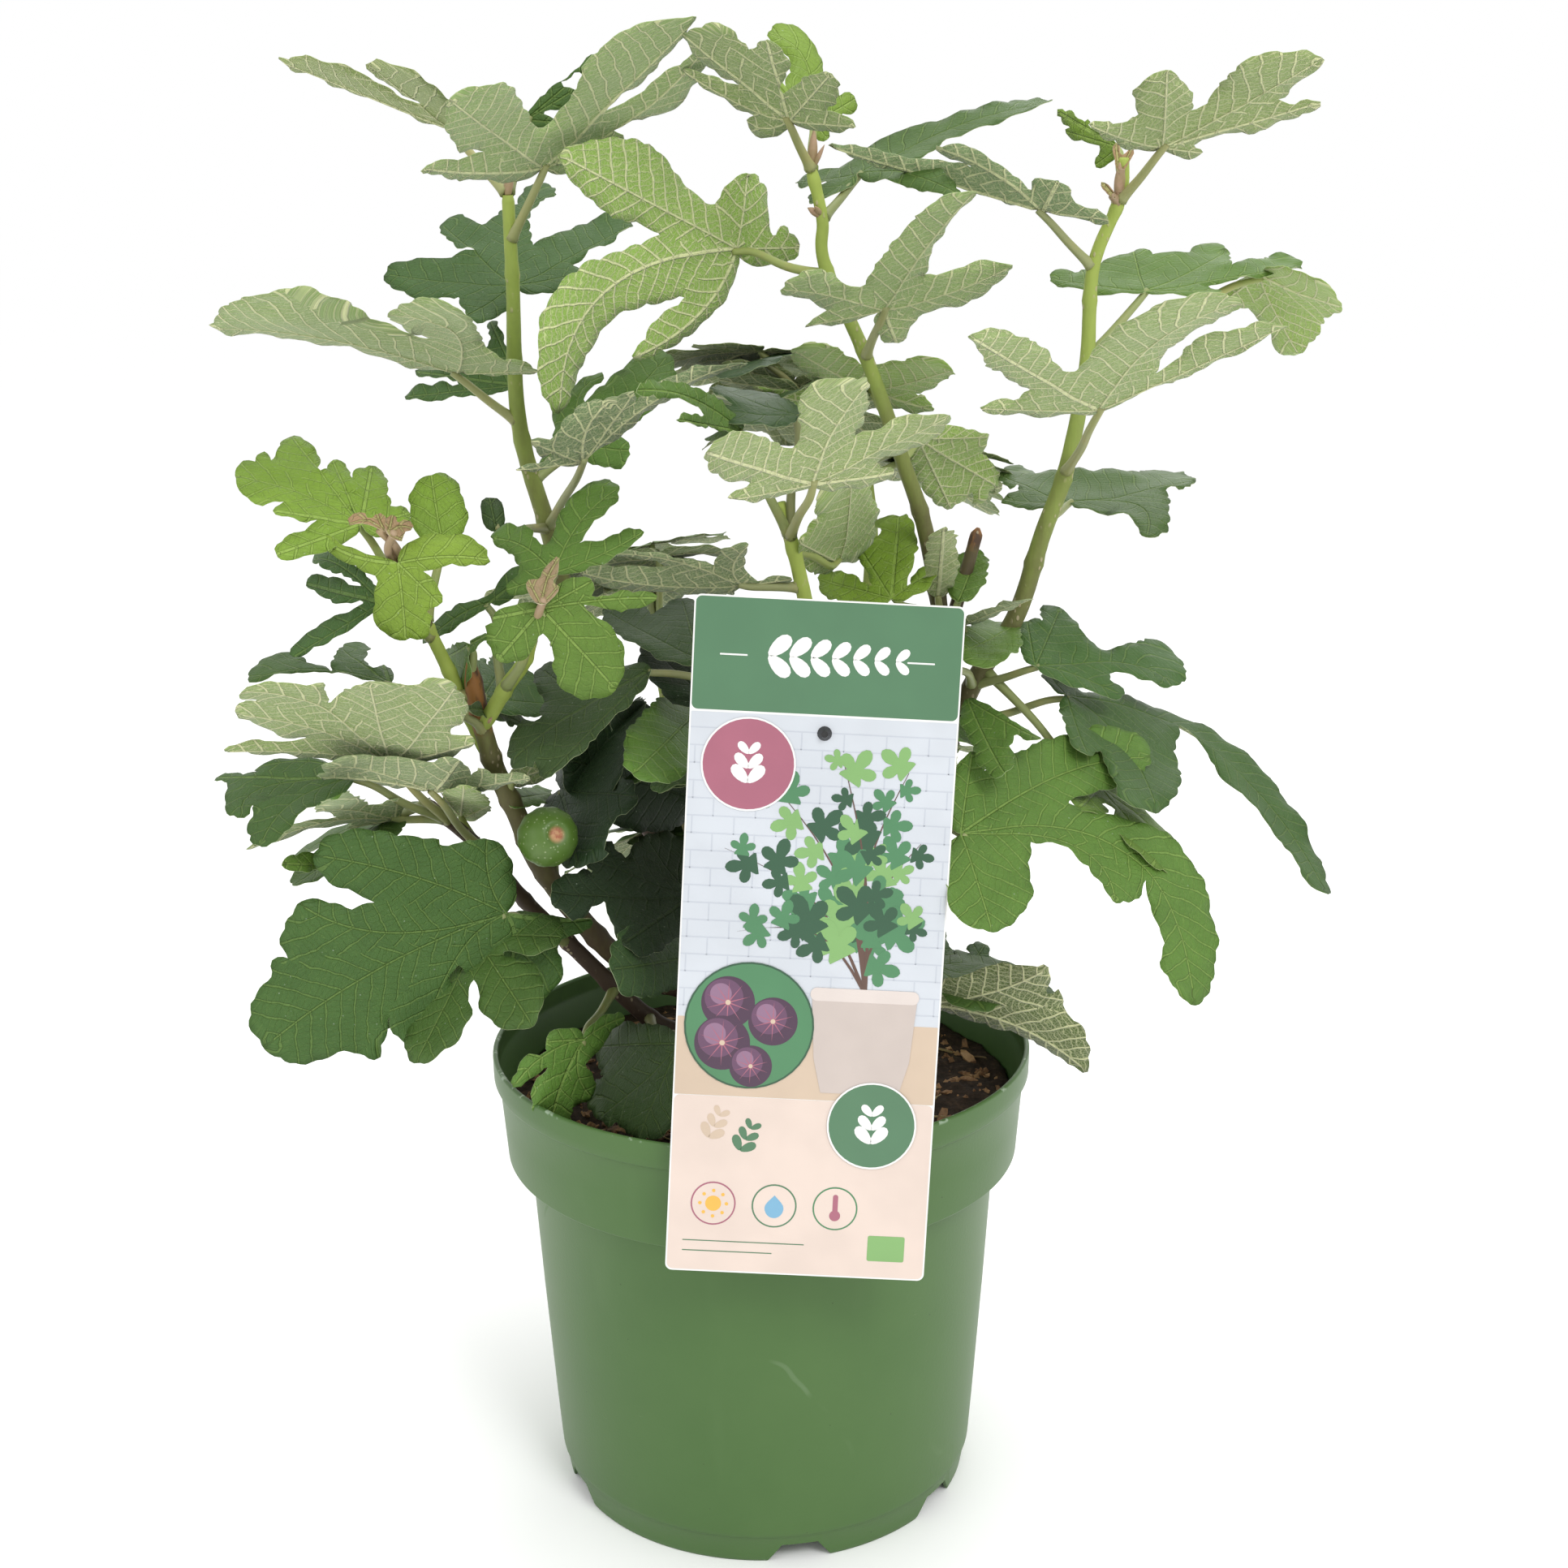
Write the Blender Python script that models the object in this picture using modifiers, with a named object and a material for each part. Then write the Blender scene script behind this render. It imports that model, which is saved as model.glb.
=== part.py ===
"""A young fig tree in its nursery pot: pot, root ball, trunk, boughs and masses of foliage.

Metres, +Z up, front along -Y. The origin is on the pot's axis, in the plane that the pot stands on.
"""
import math

import bmesh
import bpy
from mathutils import Euler, Matrix, Vector, noise
from mathutils.bvhtree import BVHTree

# Clearance between pieces that touch
GAP = 0.0003

# Pot: a thin moulded shell with a wide collar, a foot skirt and three pairs of foot notches
POT_HEIGHT = 0.1972
WALL = 0.0016
RIM_RADIUS = 0.1147
RIM_LIP = 0.0022
RIM_BEAD = 0.0110
COLLAR_TOP_RADIUS = 0.1124
COLLAR_FOOT_RADIUS = 0.1098
COLLAR_FOOT = 0.1510
BODY_TOP_RADIUS = 0.1006
FOOT_BAND_RADIUS = 0.0912
FOOT_BAND = 0.0126
BASE_RADIUS = 0.0886
FLOOR = 0.0106
TURNED_STEPS = 48
NOTCH_WIDTH = 0.027
NOTCH_TOP_WIDTH = 0.015
NOTCH_HEIGHT = 0.0083
NOTCH_BELOW = 0.002
NOTCH_FLATTENED = 0.55
NOTCH_ANGLES = [pair + side for pair in (-80.5, 39.5, 159.5) for side in (0.0, 46.0)]
DRAIN_RADIUS = 0.005
DRAIN_CIRCLE = 0.062
DRAINS = 6
DRAIN_CUT = 0.012
POT_EDGE = 0.0006
COLLAR_EDGE = 0.0010
RIM_STEP = 0.0015
SKIRT_DRAFT = 0.0008

# Root ball, which fills the pot to a little below its rim
SOIL_TOP = 0.1772
SOIL_EDGE_DROP = 0.004
SOIL_FLAT_RADIUS = 0.026
SOIL_SHOULDER_RADIUS = 0.062
SOIL_SHOULDER_DROP = 0.0016

# Trunk: flat cut at soil level, flared, leaning a little to the left
TRUNK_FOOT = (0.002, 0.014)
TRUNK_HEIGHT = 0.056
TRUNK_LEAN = (-0.009, -0.002)
TRUNK_FLARE_RADIUS = 0.0165
TRUNK_RADIUS = 0.0100
TRUNK_TOP_RADIUS = 0.0086
FLARE_FALL = 7
TRUNK_BENDS = (0.4, 0.7, 1.0)
STRAIGHT_START = 0.005

# Card on its peg, leaning against the air just clear of the rim
CARD_WIDTH = 0.0981
CARD_HEIGHT = 0.2556
CARD_THICKNESS = 0.0008
CARD_CORNER = 0.0045
CORNER_STEPS = 3
CARD_FOOT = (0.0130, -0.1224, 0.1492)
CARD_LEAN_BACK = 6.45
CARD_TURN = 3.38
PEG_ALONG = 0.0004
PEG_UP = 0.2071
PEG_RADIUS = 0.0021
PEG_HEAD_RADIUS = 0.0027
PEG_HEAD_LENGTH = 0.0026
PEG_HEAD_TAPER = 0.45
PEG_OVERLAP = 0.0005
PEG_HOLE_RADIUS = PEG_RADIUS + GAP
PEG_HOLE_STEPS = 3
QUARTER_CIRCLE_HANDLE = 0.5523
STICK_WIDTH = 0.0070
STICK_THICKNESS = 0.0030
STICK_BEHIND_CARD = 0.0016
STICK_ABOVE_PEG = 0.0050
STICK_LEAN_FORWARD = 3.2
STICK_LENGTH = 0.2350

LIMB_BEVEL_RESOLUTION = 2
SEAT_STEPS = 8
SEAT_SAMPLES = 16
SEAT_RINGS = (0.25, 0.5, 0.75, 1.0)

# Masses of foliage: lobed lumps, each with its own draw of lobes and roughness
MASS_SEGMENTS = 12
MASS_RINGS = 8
MASS_DRAW_STEP = 3.7
LOBE_DEPTH = 0.13
ROUGH_DEPTH = 0.16
ROUGH_SCALE = 2.2
CARD_CLEARANCE = 0.001
LEAST_REACH = 0.001
EDGE_ON = 0.0001
POT_SIDES = 24


def clear_scene():
    for old in list(bpy.data.objects):
        bpy.data.objects.remove(old, do_unlink=True)


def new_collection(name):
    collection = bpy.data.collections.new(name)
    bpy.context.scene.collection.children.link(collection)
    return collection


def material(name, color, roughness, metallic=0.0):
    made = bpy.data.materials.new(name)
    made.use_nodes = True
    shader = made.node_tree.nodes["Principled BSDF"]
    shader.inputs["Base Color"].default_value = (*color, 1.0)
    shader.inputs["Roughness"].default_value = roughness
    shader.inputs["Metallic"].default_value = metallic
    return made


def add_object(name, data, collection, finish=None):
    made = bpy.data.objects.new(name, data)
    collection.objects.link(made)
    if finish is not None:
        made.data.materials.append(finish)
    return made


def mesh_from(name, bm):
    mesh = bpy.data.meshes.new(name)
    bm.to_mesh(mesh)
    bm.free()
    return mesh


def cutter(name, mesh):
    """An object that only cuts others."""
    made = add_object(name, mesh, CUTTERS)
    made.hide_render = True
    made.display_type = "WIRE"
    return made


def cut(target, tool):
    change = target.modifiers.new("cut", "BOOLEAN")
    change.operation = "DIFFERENCE"
    change.solver = "EXACT"
    change.object = tool


def turned(name, profile, finish):
    """A profile of (radius, height), down its outer side, turned round the pot's axis."""
    mesh = bpy.data.meshes.new(name)
    points = [(radius, 0.0, height) for radius, height in profile]
    mesh.from_pydata(points, [(i, i + 1) for i in range(len(points) - 1)], [])
    made = add_object(name, mesh, PLANT, finish)
    screw = made.modifiers.new("turned", "SCREW")
    screw.steps = TURNED_STEPS
    screw.render_steps = TURNED_STEPS
    screw.use_merge_vertices = True
    screw.merge_threshold = 0.00001
    return made


def pot_inside(offset):
    """The pot's inner wall from floor to rim, moved inwards by an offset."""
    return [
        (FOOT_BAND_RADIUS - WALL - offset, FLOOR + offset),
        (BODY_TOP_RADIUS - WALL - offset, COLLAR_FOOT + WALL + offset),
        (COLLAR_FOOT_RADIUS - WALL - offset, COLLAR_FOOT + WALL + offset),
        (COLLAR_TOP_RADIUS - WALL - offset, POT_HEIGHT - RIM_BEAD),
    ]


def make_pot():
    skirt_radius = BASE_RADIUS - WALL
    profile = [(0.0, FLOOR)] + pot_inside(0.0) + [
        (RIM_RADIUS - RIM_LIP, POT_HEIGHT - POT_EDGE),
        (RIM_RADIUS - RIM_LIP + POT_EDGE, POT_HEIGHT),
        (RIM_RADIUS - POT_EDGE, POT_HEIGHT),
        (RIM_RADIUS, POT_HEIGHT - POT_EDGE),
        (RIM_RADIUS, POT_HEIGHT - RIM_BEAD),
        (COLLAR_TOP_RADIUS, POT_HEIGHT - RIM_BEAD - RIM_STEP),
        (COLLAR_FOOT_RADIUS, COLLAR_FOOT + COLLAR_EDGE),
        (COLLAR_FOOT_RADIUS - COLLAR_EDGE, COLLAR_FOOT),
        (BODY_TOP_RADIUS, COLLAR_FOOT),
        (FOOT_BAND_RADIUS, FOOT_BAND),
        (FOOT_BAND_RADIUS - POT_EDGE, FOOT_BAND - POT_EDGE),
        (BASE_RADIUS, 0.0),
        (skirt_radius, 0.0),
        (skirt_radius + SKIRT_DRAFT, FLOOR - WALL),
        (0.0, FLOOR - WALL),
    ]
    pot = turned("pot", profile, POT_GREEN)
    cut(pot, foot_notches())
    cut(pot, drain_holes())


def foot_notches():
    """Tapered blocks through the foot skirt, wide at the ground."""
    bm = bmesh.new()
    height = NOTCH_HEIGHT + NOTCH_BELOW
    spread = (NOTCH_WIDTH - NOTCH_TOP_WIDTH) / NOTCH_HEIGHT * NOTCH_BELOW
    for angle in NOTCH_ANGLES:
        place = Matrix.Rotation(math.radians(angle), 4, "Z") @ Matrix.Translation((BASE_RADIUS, 0, 0))
        corner = math.sqrt(0.5)
        made = bmesh.ops.create_cone(
            bm, cap_ends=True, segments=4, depth=height,
            radius1=(NOTCH_WIDTH + spread) * corner, radius2=NOTCH_TOP_WIDTH * corner,
            matrix=place @ Matrix.Translation((0, 0, height / 2 - NOTCH_BELOW))
            @ Matrix.Scale(NOTCH_FLATTENED, 4, (1, 0, 0)) @ Matrix.Rotation(math.radians(45), 4, "Z"))
        bmesh.ops.recalc_face_normals(bm, faces=list({f for v in made["verts"] for f in v.link_faces}))
    return cutter("foot_notch_cutter", mesh_from("foot_notch_cutter", bm))


def drain_holes():
    bm = bmesh.new()
    places = [Vector((0, 0, FLOOR))]
    for i in range(DRAINS):
        turn = math.radians(NOTCH_ANGLES[i])
        places.append(Vector((DRAIN_CIRCLE * math.cos(turn), DRAIN_CIRCLE * math.sin(turn), FLOOR)))
    for place in places:
        bmesh.ops.create_cone(bm, cap_ends=True, segments=12, radius1=DRAIN_RADIUS,
                              radius2=DRAIN_RADIUS, depth=DRAIN_CUT, matrix=Matrix.Translation(place))
    return cutter("drain_cutter", mesh_from("drain_cutter", bm))


def make_root_ball():
    floor, ledge_in, ledge_out, top = pot_inside(GAP)
    slope = (top[0] - ledge_out[0]) / (top[1] - ledge_out[1])
    edge_height = SOIL_TOP - SOIL_EDGE_DROP
    edge_radius = ledge_out[0] + slope * (edge_height - ledge_out[1])
    profile = [
        (0.0, SOIL_TOP),
        (SOIL_FLAT_RADIUS, SOIL_TOP),
        (SOIL_SHOULDER_RADIUS, SOIL_TOP - SOIL_SHOULDER_DROP),
        (edge_radius, edge_height),
        ledge_out,
        ledge_in,
        floor,
        (0.0, floor[1]),
    ]
    turned("root_ball", profile, SOIL_BROWN)


# Limbs

def smooth_path(points, per_span):
    """Points along a Catmull-Rom curve through the given ones."""
    knots = [Vector(p) for p in points]
    knots = [2 * knots[0] - knots[1]] + knots + [2 * knots[-1] - knots[-2]]
    path = []
    for a, b, c, d in zip(knots, knots[1:], knots[2:], knots[3:]):
        for i in range(per_span):
            t = i / per_span
            path.append(0.5 * (2 * b + (c - a) * t + (2 * a - 5 * b + 4 * c - d) * t ** 2
                               + (3 * b - a - 3 * c + d) * t ** 3))
    path.append(knots[-2])
    return path


def limb(name, start, points, foot_radius, tip_radius, finish, flare=0.0, per_span=2):
    """One tapering limb, straight from its start to the first point and smooth from there on.

    Its axis is kept in LIMBS with the radius at each point.
    """
    path = [Vector(start)] + smooth_path(points, per_span)
    reach = [0.0]
    for a, b in zip(path, path[1:]):
        reach.append(reach[-1] + (b - a).length)
    curve = bpy.data.curves.new(name, "CURVE")
    curve.dimensions = "3D"
    curve.bevel_depth = 1.0
    curve.bevel_resolution = LIMB_BEVEL_RESOLUTION
    curve.use_fill_caps = True
    spline = curve.splines.new("POLY")
    spline.points.add(len(path) - 1)
    LIMBS[name] = []
    for knot, place, along in zip(spline.points, path, reach):
        part = along / reach[-1]
        radius = foot_radius + (tip_radius - foot_radius) * part + flare * math.exp(-part * FLARE_FALL)
        knot.co = (*place, 1.0)
        knot.radius = radius
        LIMBS[name].append((place.copy(), radius))
    return add_object(name, curve, PLANT, finish)


def place_at_height(parent, height):
    """Where a limb's axis passes a height, with its direction and radius there."""
    axis = LIMBS[parent]
    for (a, ra), (b, rb) in zip(axis, axis[1:]):
        if a.z <= height <= b.z:
            t = (height - a.z) / (b.z - a.z)
            return a.lerp(b, t), (b - a).normalized(), ra + (rb - ra) * t
    raise ValueError(f"{parent} does not reach {height}")


def skin(name):
    """The surface of a limb that is already made, to measure distances from."""
    seen = bpy.data.objects[name].evaluated_get(bpy.context.evaluated_depsgraph_get())
    mesh = seen.to_mesh()
    corners = [vert.co.copy() for vert in mesh.vertices]
    tree = BVHTree.FromPolygons(corners, [list(face.vertices) for face in mesh.polygons])
    seen.to_mesh_clear()
    return tree


def side_limb(name, parent, height, points, foot_radius, tip_radius, finish):
    """A limb whose flat foot is moved in along its axis until it just clears its parent's skin."""
    origin, along, parent_radius = place_at_height(parent, height)
    away = (Vector(points[0]) - origin).normalized()
    cosine = abs(away.dot(along))
    start = origin + away * (parent_radius + GAP + foot_radius * cosine) / math.sqrt(1 - cosine ** 2)
    parent_skin = skin(parent)
    across = away.orthogonal().normalized() * foot_radius
    turns = [Matrix.Rotation(math.tau * i / SEAT_SAMPLES, 3, away) for i in range(SEAT_SAMPLES)]
    rim = [turn @ across for turn in turns]
    face = [Vector()] + [offset * share for offset in rim for share in SEAT_RINGS]
    for _ in range(SEAT_STEPS):
        clearance = min(parent_skin.find_nearest(start + offset)[3] for offset in face)
        start -= away * (clearance - GAP)
    points = [start + away * STRAIGHT_START] + points
    limb(name, start, points, foot_radius, tip_radius, finish)


def make_trunk():
    x, y = TRUNK_FOOT
    foot = SOIL_TOP + GAP
    lean_x, lean_y = TRUNK_LEAN
    points = [(x, y, foot + STRAIGHT_START)]
    for part in TRUNK_BENDS:
        points.append((x + lean_x * part, y + lean_y * part, foot + TRUNK_HEIGHT * part))
    limb("trunk", (x, y, foot), points, TRUNK_RADIUS, TRUNK_TOP_RADIUS, BARK,
         flare=TRUNK_FLARE_RADIUS - TRUNK_RADIUS, per_span=2)


def make_boughs():
    below, top = LIMBS["trunk"][-2][0], LIMBS["trunk"][-1][0]
    up = (top - below).normalized()
    limb("bough_left_tall", top + up * GAP, [
        top + up * STRAIGHT_START, (-0.020, 0.014, 0.252), (-0.042, 0.018, 0.278), (-0.058, 0.020, 0.315),
        (-0.074, 0.020, 0.363), (-0.085, 0.018, 0.411), (-0.095, 0.010, 0.458), (-0.094, 0.000, 0.513),
        (-0.094, -0.004, 0.546),
    ], 0.0055, 0.0024, BARK)
    side_limb("bough_left_low", "trunk", 0.192, [
        (-0.030, 0.004, 0.197), (-0.048, -0.005, 0.208), (-0.080, -0.016, 0.246), (-0.097, -0.020, 0.266),
        (-0.113, -0.028, 0.291), (-0.132, -0.036, 0.312),
    ], 0.0042, 0.0026, BARK)
    side_limb("bough_left_pruned", "trunk", 0.211, [
        (-0.035, 0.000, 0.220), (-0.060, -0.010, 0.237), (-0.086, -0.030, 0.281), (-0.094, -0.042, 0.313),
        (-0.102, -0.048, 0.332), (-0.107, -0.052, 0.355), (-0.109, -0.054, 0.372),
    ], 0.0048, 0.0022, BARK)
    side_limb("shoot_left_front", "bough_left_pruned", 0.342, [
        (-0.096, -0.061, 0.360), (-0.087, -0.068, 0.374),
    ], 0.0027, 0.0024, GREEN_WOOD)
    side_limb("shoot_left_outer", "bough_left_pruned", 0.336, [
        (-0.117, -0.047, 0.351), (-0.1215, -0.051, 0.371), (-0.125, -0.056, 0.388),
    ], 0.0026, 0.0023, GREEN_WOOD)
    side_limb("bough_right_tall", "trunk", 0.216, [
        (0.030, 0.012, 0.240), (0.067, 0.012, 0.293), (0.088, 0.012, 0.345), (0.107, 0.012, 0.377),
        (0.117, 0.010, 0.411), (0.126, 0.008, 0.439), (0.132, 0.004, 0.479), (0.133, 0.000, 0.517),
        (0.142, -0.004, 0.543), (0.143, -0.004, 0.558),
    ], 0.0056, 0.0022, BARK)
    side_limb("bough_middle_tall", "bough_right_tall", 0.322, [
        (0.076, 0.004, 0.372), (0.069, 0.004, 0.413), (0.059, 0.000, 0.443), (0.044, -0.004, 0.484),
        (0.028, -0.008, 0.519), (0.027, -0.010, 0.536), (0.023, -0.012, 0.554),
    ], 0.0040, 0.0022, BARK)
    side_limb("stub_middle", "bough_middle_tall", 0.366, [
        (0.086, 0.010, 0.396), (0.091, 0.012, 0.414),
    ], 0.0028, 0.0026, BARK)
    side_limb("bough_middle_front", "trunk", 0.226, [
        (0.010, -0.018, 0.262), (0.021, -0.033, 0.330), (0.022, -0.036, 0.373), (0.017, -0.042, 0.405),
        (0.010, -0.046, 0.432),
    ], 0.0042, 0.0026, BARK)
    side_limb("bough_back_left", "trunk", 0.203, [
        (-0.020, 0.042, 0.240), (-0.038, 0.066, 0.300), (-0.044, 0.078, 0.355),
    ], 0.0044, 0.0028, BARK)
    side_limb("bough_back_right", "trunk", 0.209, [
        (0.022, 0.042, 0.250), (0.042, 0.066, 0.320), (0.050, 0.076, 0.395), (0.046, 0.074, 0.440),
    ], 0.0046, 0.0026, BARK)


# Masses of foliage

def card_frame():
    """From the card's own plane, with its foot's middle at nought, to the world."""
    turn = Matrix.Rotation(math.radians(CARD_TURN), 4, "Y")
    lean = Matrix.Rotation(-math.radians(CARD_LEAN_BACK), 4, "X")
    return Matrix.Translation(CARD_FOOT) @ turn @ lean


def nearest_on_segment(point, a, b):
    along = b - a
    t = max(0.0, min(1.0, (point - a).dot(along) / along.length_squared))
    return a + along * t


def nearest_on_box(point, frame, low, high):
    local = frame.inverted() @ point
    held = Vector([max(low[i], min(high[i], local[i])) for i in range(3)])
    return frame @ held


def nearest_on_pot(point):
    flat = Vector((point.x, point.y, 0.0))
    if flat.length > RIM_RADIUS:
        flat = flat * (RIM_RADIUS / flat.length)
    return Vector((flat.x, flat.y, max(0.0, min(POT_HEIGHT, point.z))))


def plane_towards(centre, near, spare):
    """A plane (normal, distance) that keeps a shape round the centre off what lies at near."""
    offset = near - centre
    limit = offset.length - spare - GAP
    if limit <= LEAST_REACH:
        raise ValueError(f"mass at {tuple(centre)} starts inside a neighbour")
    return offset.normalized(), limit


def spans_towards(centre, axis):
    """For each span of a limb: the nearest point of its axis and of its skin, and the reach between them."""
    spans = []
    for (a, ra), (b, rb) in zip(axis, axis[1:]):
        near = nearest_on_segment(centre, a, b)
        along = (b - a).normalized()
        direction = (centre - near).normalized()
        outward = direction - along * direction.dot(along)
        touch = near + outward.normalized() * max(ra, rb)
        spans.append((near, touch, max(ra, rb) * outward.length))
    return spans


class Mass:
    """One uneven lump of foliage: a bent, lobed ellipsoid about its centre."""

    def __init__(self, name, centre, half, tilt, carrier, lobes=5, in_pot=False):
        self.name = name
        self.centre = Vector(centre)
        self.half = half
        self.turn = Euler([math.radians(a) for a in tilt]).to_matrix()
        self.carrier = carrier
        self.lobes = lobes
        self.in_pot = in_pot
        self.seed = MASS_DRAW_STEP * len(MASSES)
        MASSES.append(self)

    def reach(self, direction):
        """How far the free surface lies from the centre in a direction."""
        local = self.turn.transposed() @ direction
        ellipsoid = 1 / math.sqrt(sum((local[i] / self.half[i]) ** 2 for i in range(3)))
        around = math.atan2(local.y / self.half[1], local.x / self.half[0])
        flatness = 1 - (local.z * ellipsoid / self.half[2]) ** 2
        lobed = LOBE_DEPTH * math.cos(self.lobes * around + self.seed) * flatness
        rough = ROUGH_DEPTH * noise.noise(local * ROUGH_SCALE + Vector((self.seed, 0.0, 0.0)))
        return ellipsoid * (1 + lobed + rough)

    def walls(self):
        """Planes that keep the mass clear of limbs, card, stick and pot."""
        planes = []
        for axis in LIMBS.values():
            for near, _, skin_reach in spans_towards(self.centre, axis):
                planes.append(plane_towards(self.centre, near, skin_reach))
        card_low = (-CARD_WIDTH / 2, -CARD_THICKNESS, 0.0)
        card_high = (CARD_WIDTH / 2, CARD_THICKNESS, CARD_HEIGHT)
        near_card = nearest_on_box(self.centre, card_frame(), card_low, card_high)
        planes.append(plane_towards(self.centre, near_card, CARD_CLEARANCE))
        stick_top = stick_frame() @ Vector((0, 0, STICK_ABOVE_PEG))
        stick_foot = stick_frame() @ Vector((0, 0, STICK_ABOVE_PEG - STICK_LENGTH))
        near_stick = nearest_on_segment(self.centre, stick_top, stick_foot)
        planes.append(plane_towards(self.centre, near_stick, STICK_WIDTH))
        if self.in_pot:
            inner = COLLAR_FOOT_RADIUS - WALL - COLLAR_EDGE
            planes.append((Vector((0, 0, -1)), self.centre.z - SOIL_TOP - GAP))
            for i in range(POT_SIDES):
                turn = math.tau * i / POT_SIDES
                out = Vector((math.cos(turn), math.sin(turn), 0))
                planes.append((out, inner - self.centre.dot(out)))
        else:
            planes.append(plane_towards(self.centre, nearest_on_pot(self.centre), 0.0))
        return planes

    def borders(self):
        """Planes that keep the mass clear of the other masses."""
        planes = []
        for other in MASSES:
            if other is self:
                continue
            apart = other.centre - self.centre
            direction = apart.normalized()
            mine, theirs = self.reach(direction), other.reach(-direction)
            share = mine + max(0.0, apart.length - mine - theirs) / 2
            if mine + theirs > apart.length:
                share = apart.length * mine / (mine + theirs)
            planes.append((direction, share - GAP / 2))
        return planes

    def seat(self):
        """The nearest place on the carrying limb's skin, seen from the centre."""
        touches = [touch - self.centre for _, touch, _ in spans_towards(self.centre, LIMBS[self.carrier])]
        offset = min(touches, key=lambda touch: touch.length)
        return offset.normalized(), offset.length - GAP

    def make(self):
        bm = bmesh.new()
        bmesh.ops.create_uvsphere(bm, u_segments=MASS_SEGMENTS, v_segments=MASS_RINGS, radius=1.0)
        walls, borders = self.walls(), self.borders()
        seat_direction, seat_distance = self.seat()
        stretch = Matrix.Diagonal(Vector(self.half))
        for vert in bm.verts:
            vert.co = (self.turn @ stretch @ vert.co).normalized()
        seated = max(bm.verts, key=lambda v: v.co.dot(seat_direction))
        seated.co = seat_direction
        for vert in bm.verts:
            direction = vert.co.copy()
            distance = seat_distance if vert is seated else self.reach(direction)
            for normal, limit in walls if vert is seated else walls + borders:
                facing = direction.dot(normal)
                if facing > EDGE_ON:
                    distance = min(distance, limit / facing)
            vert.co = self.centre + direction * distance
        bmesh.ops.recalc_face_normals(bm, faces=bm.faces)
        add_object(self.name, mesh_from(self.name, bm), PLANT, FOLIAGE)


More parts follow.
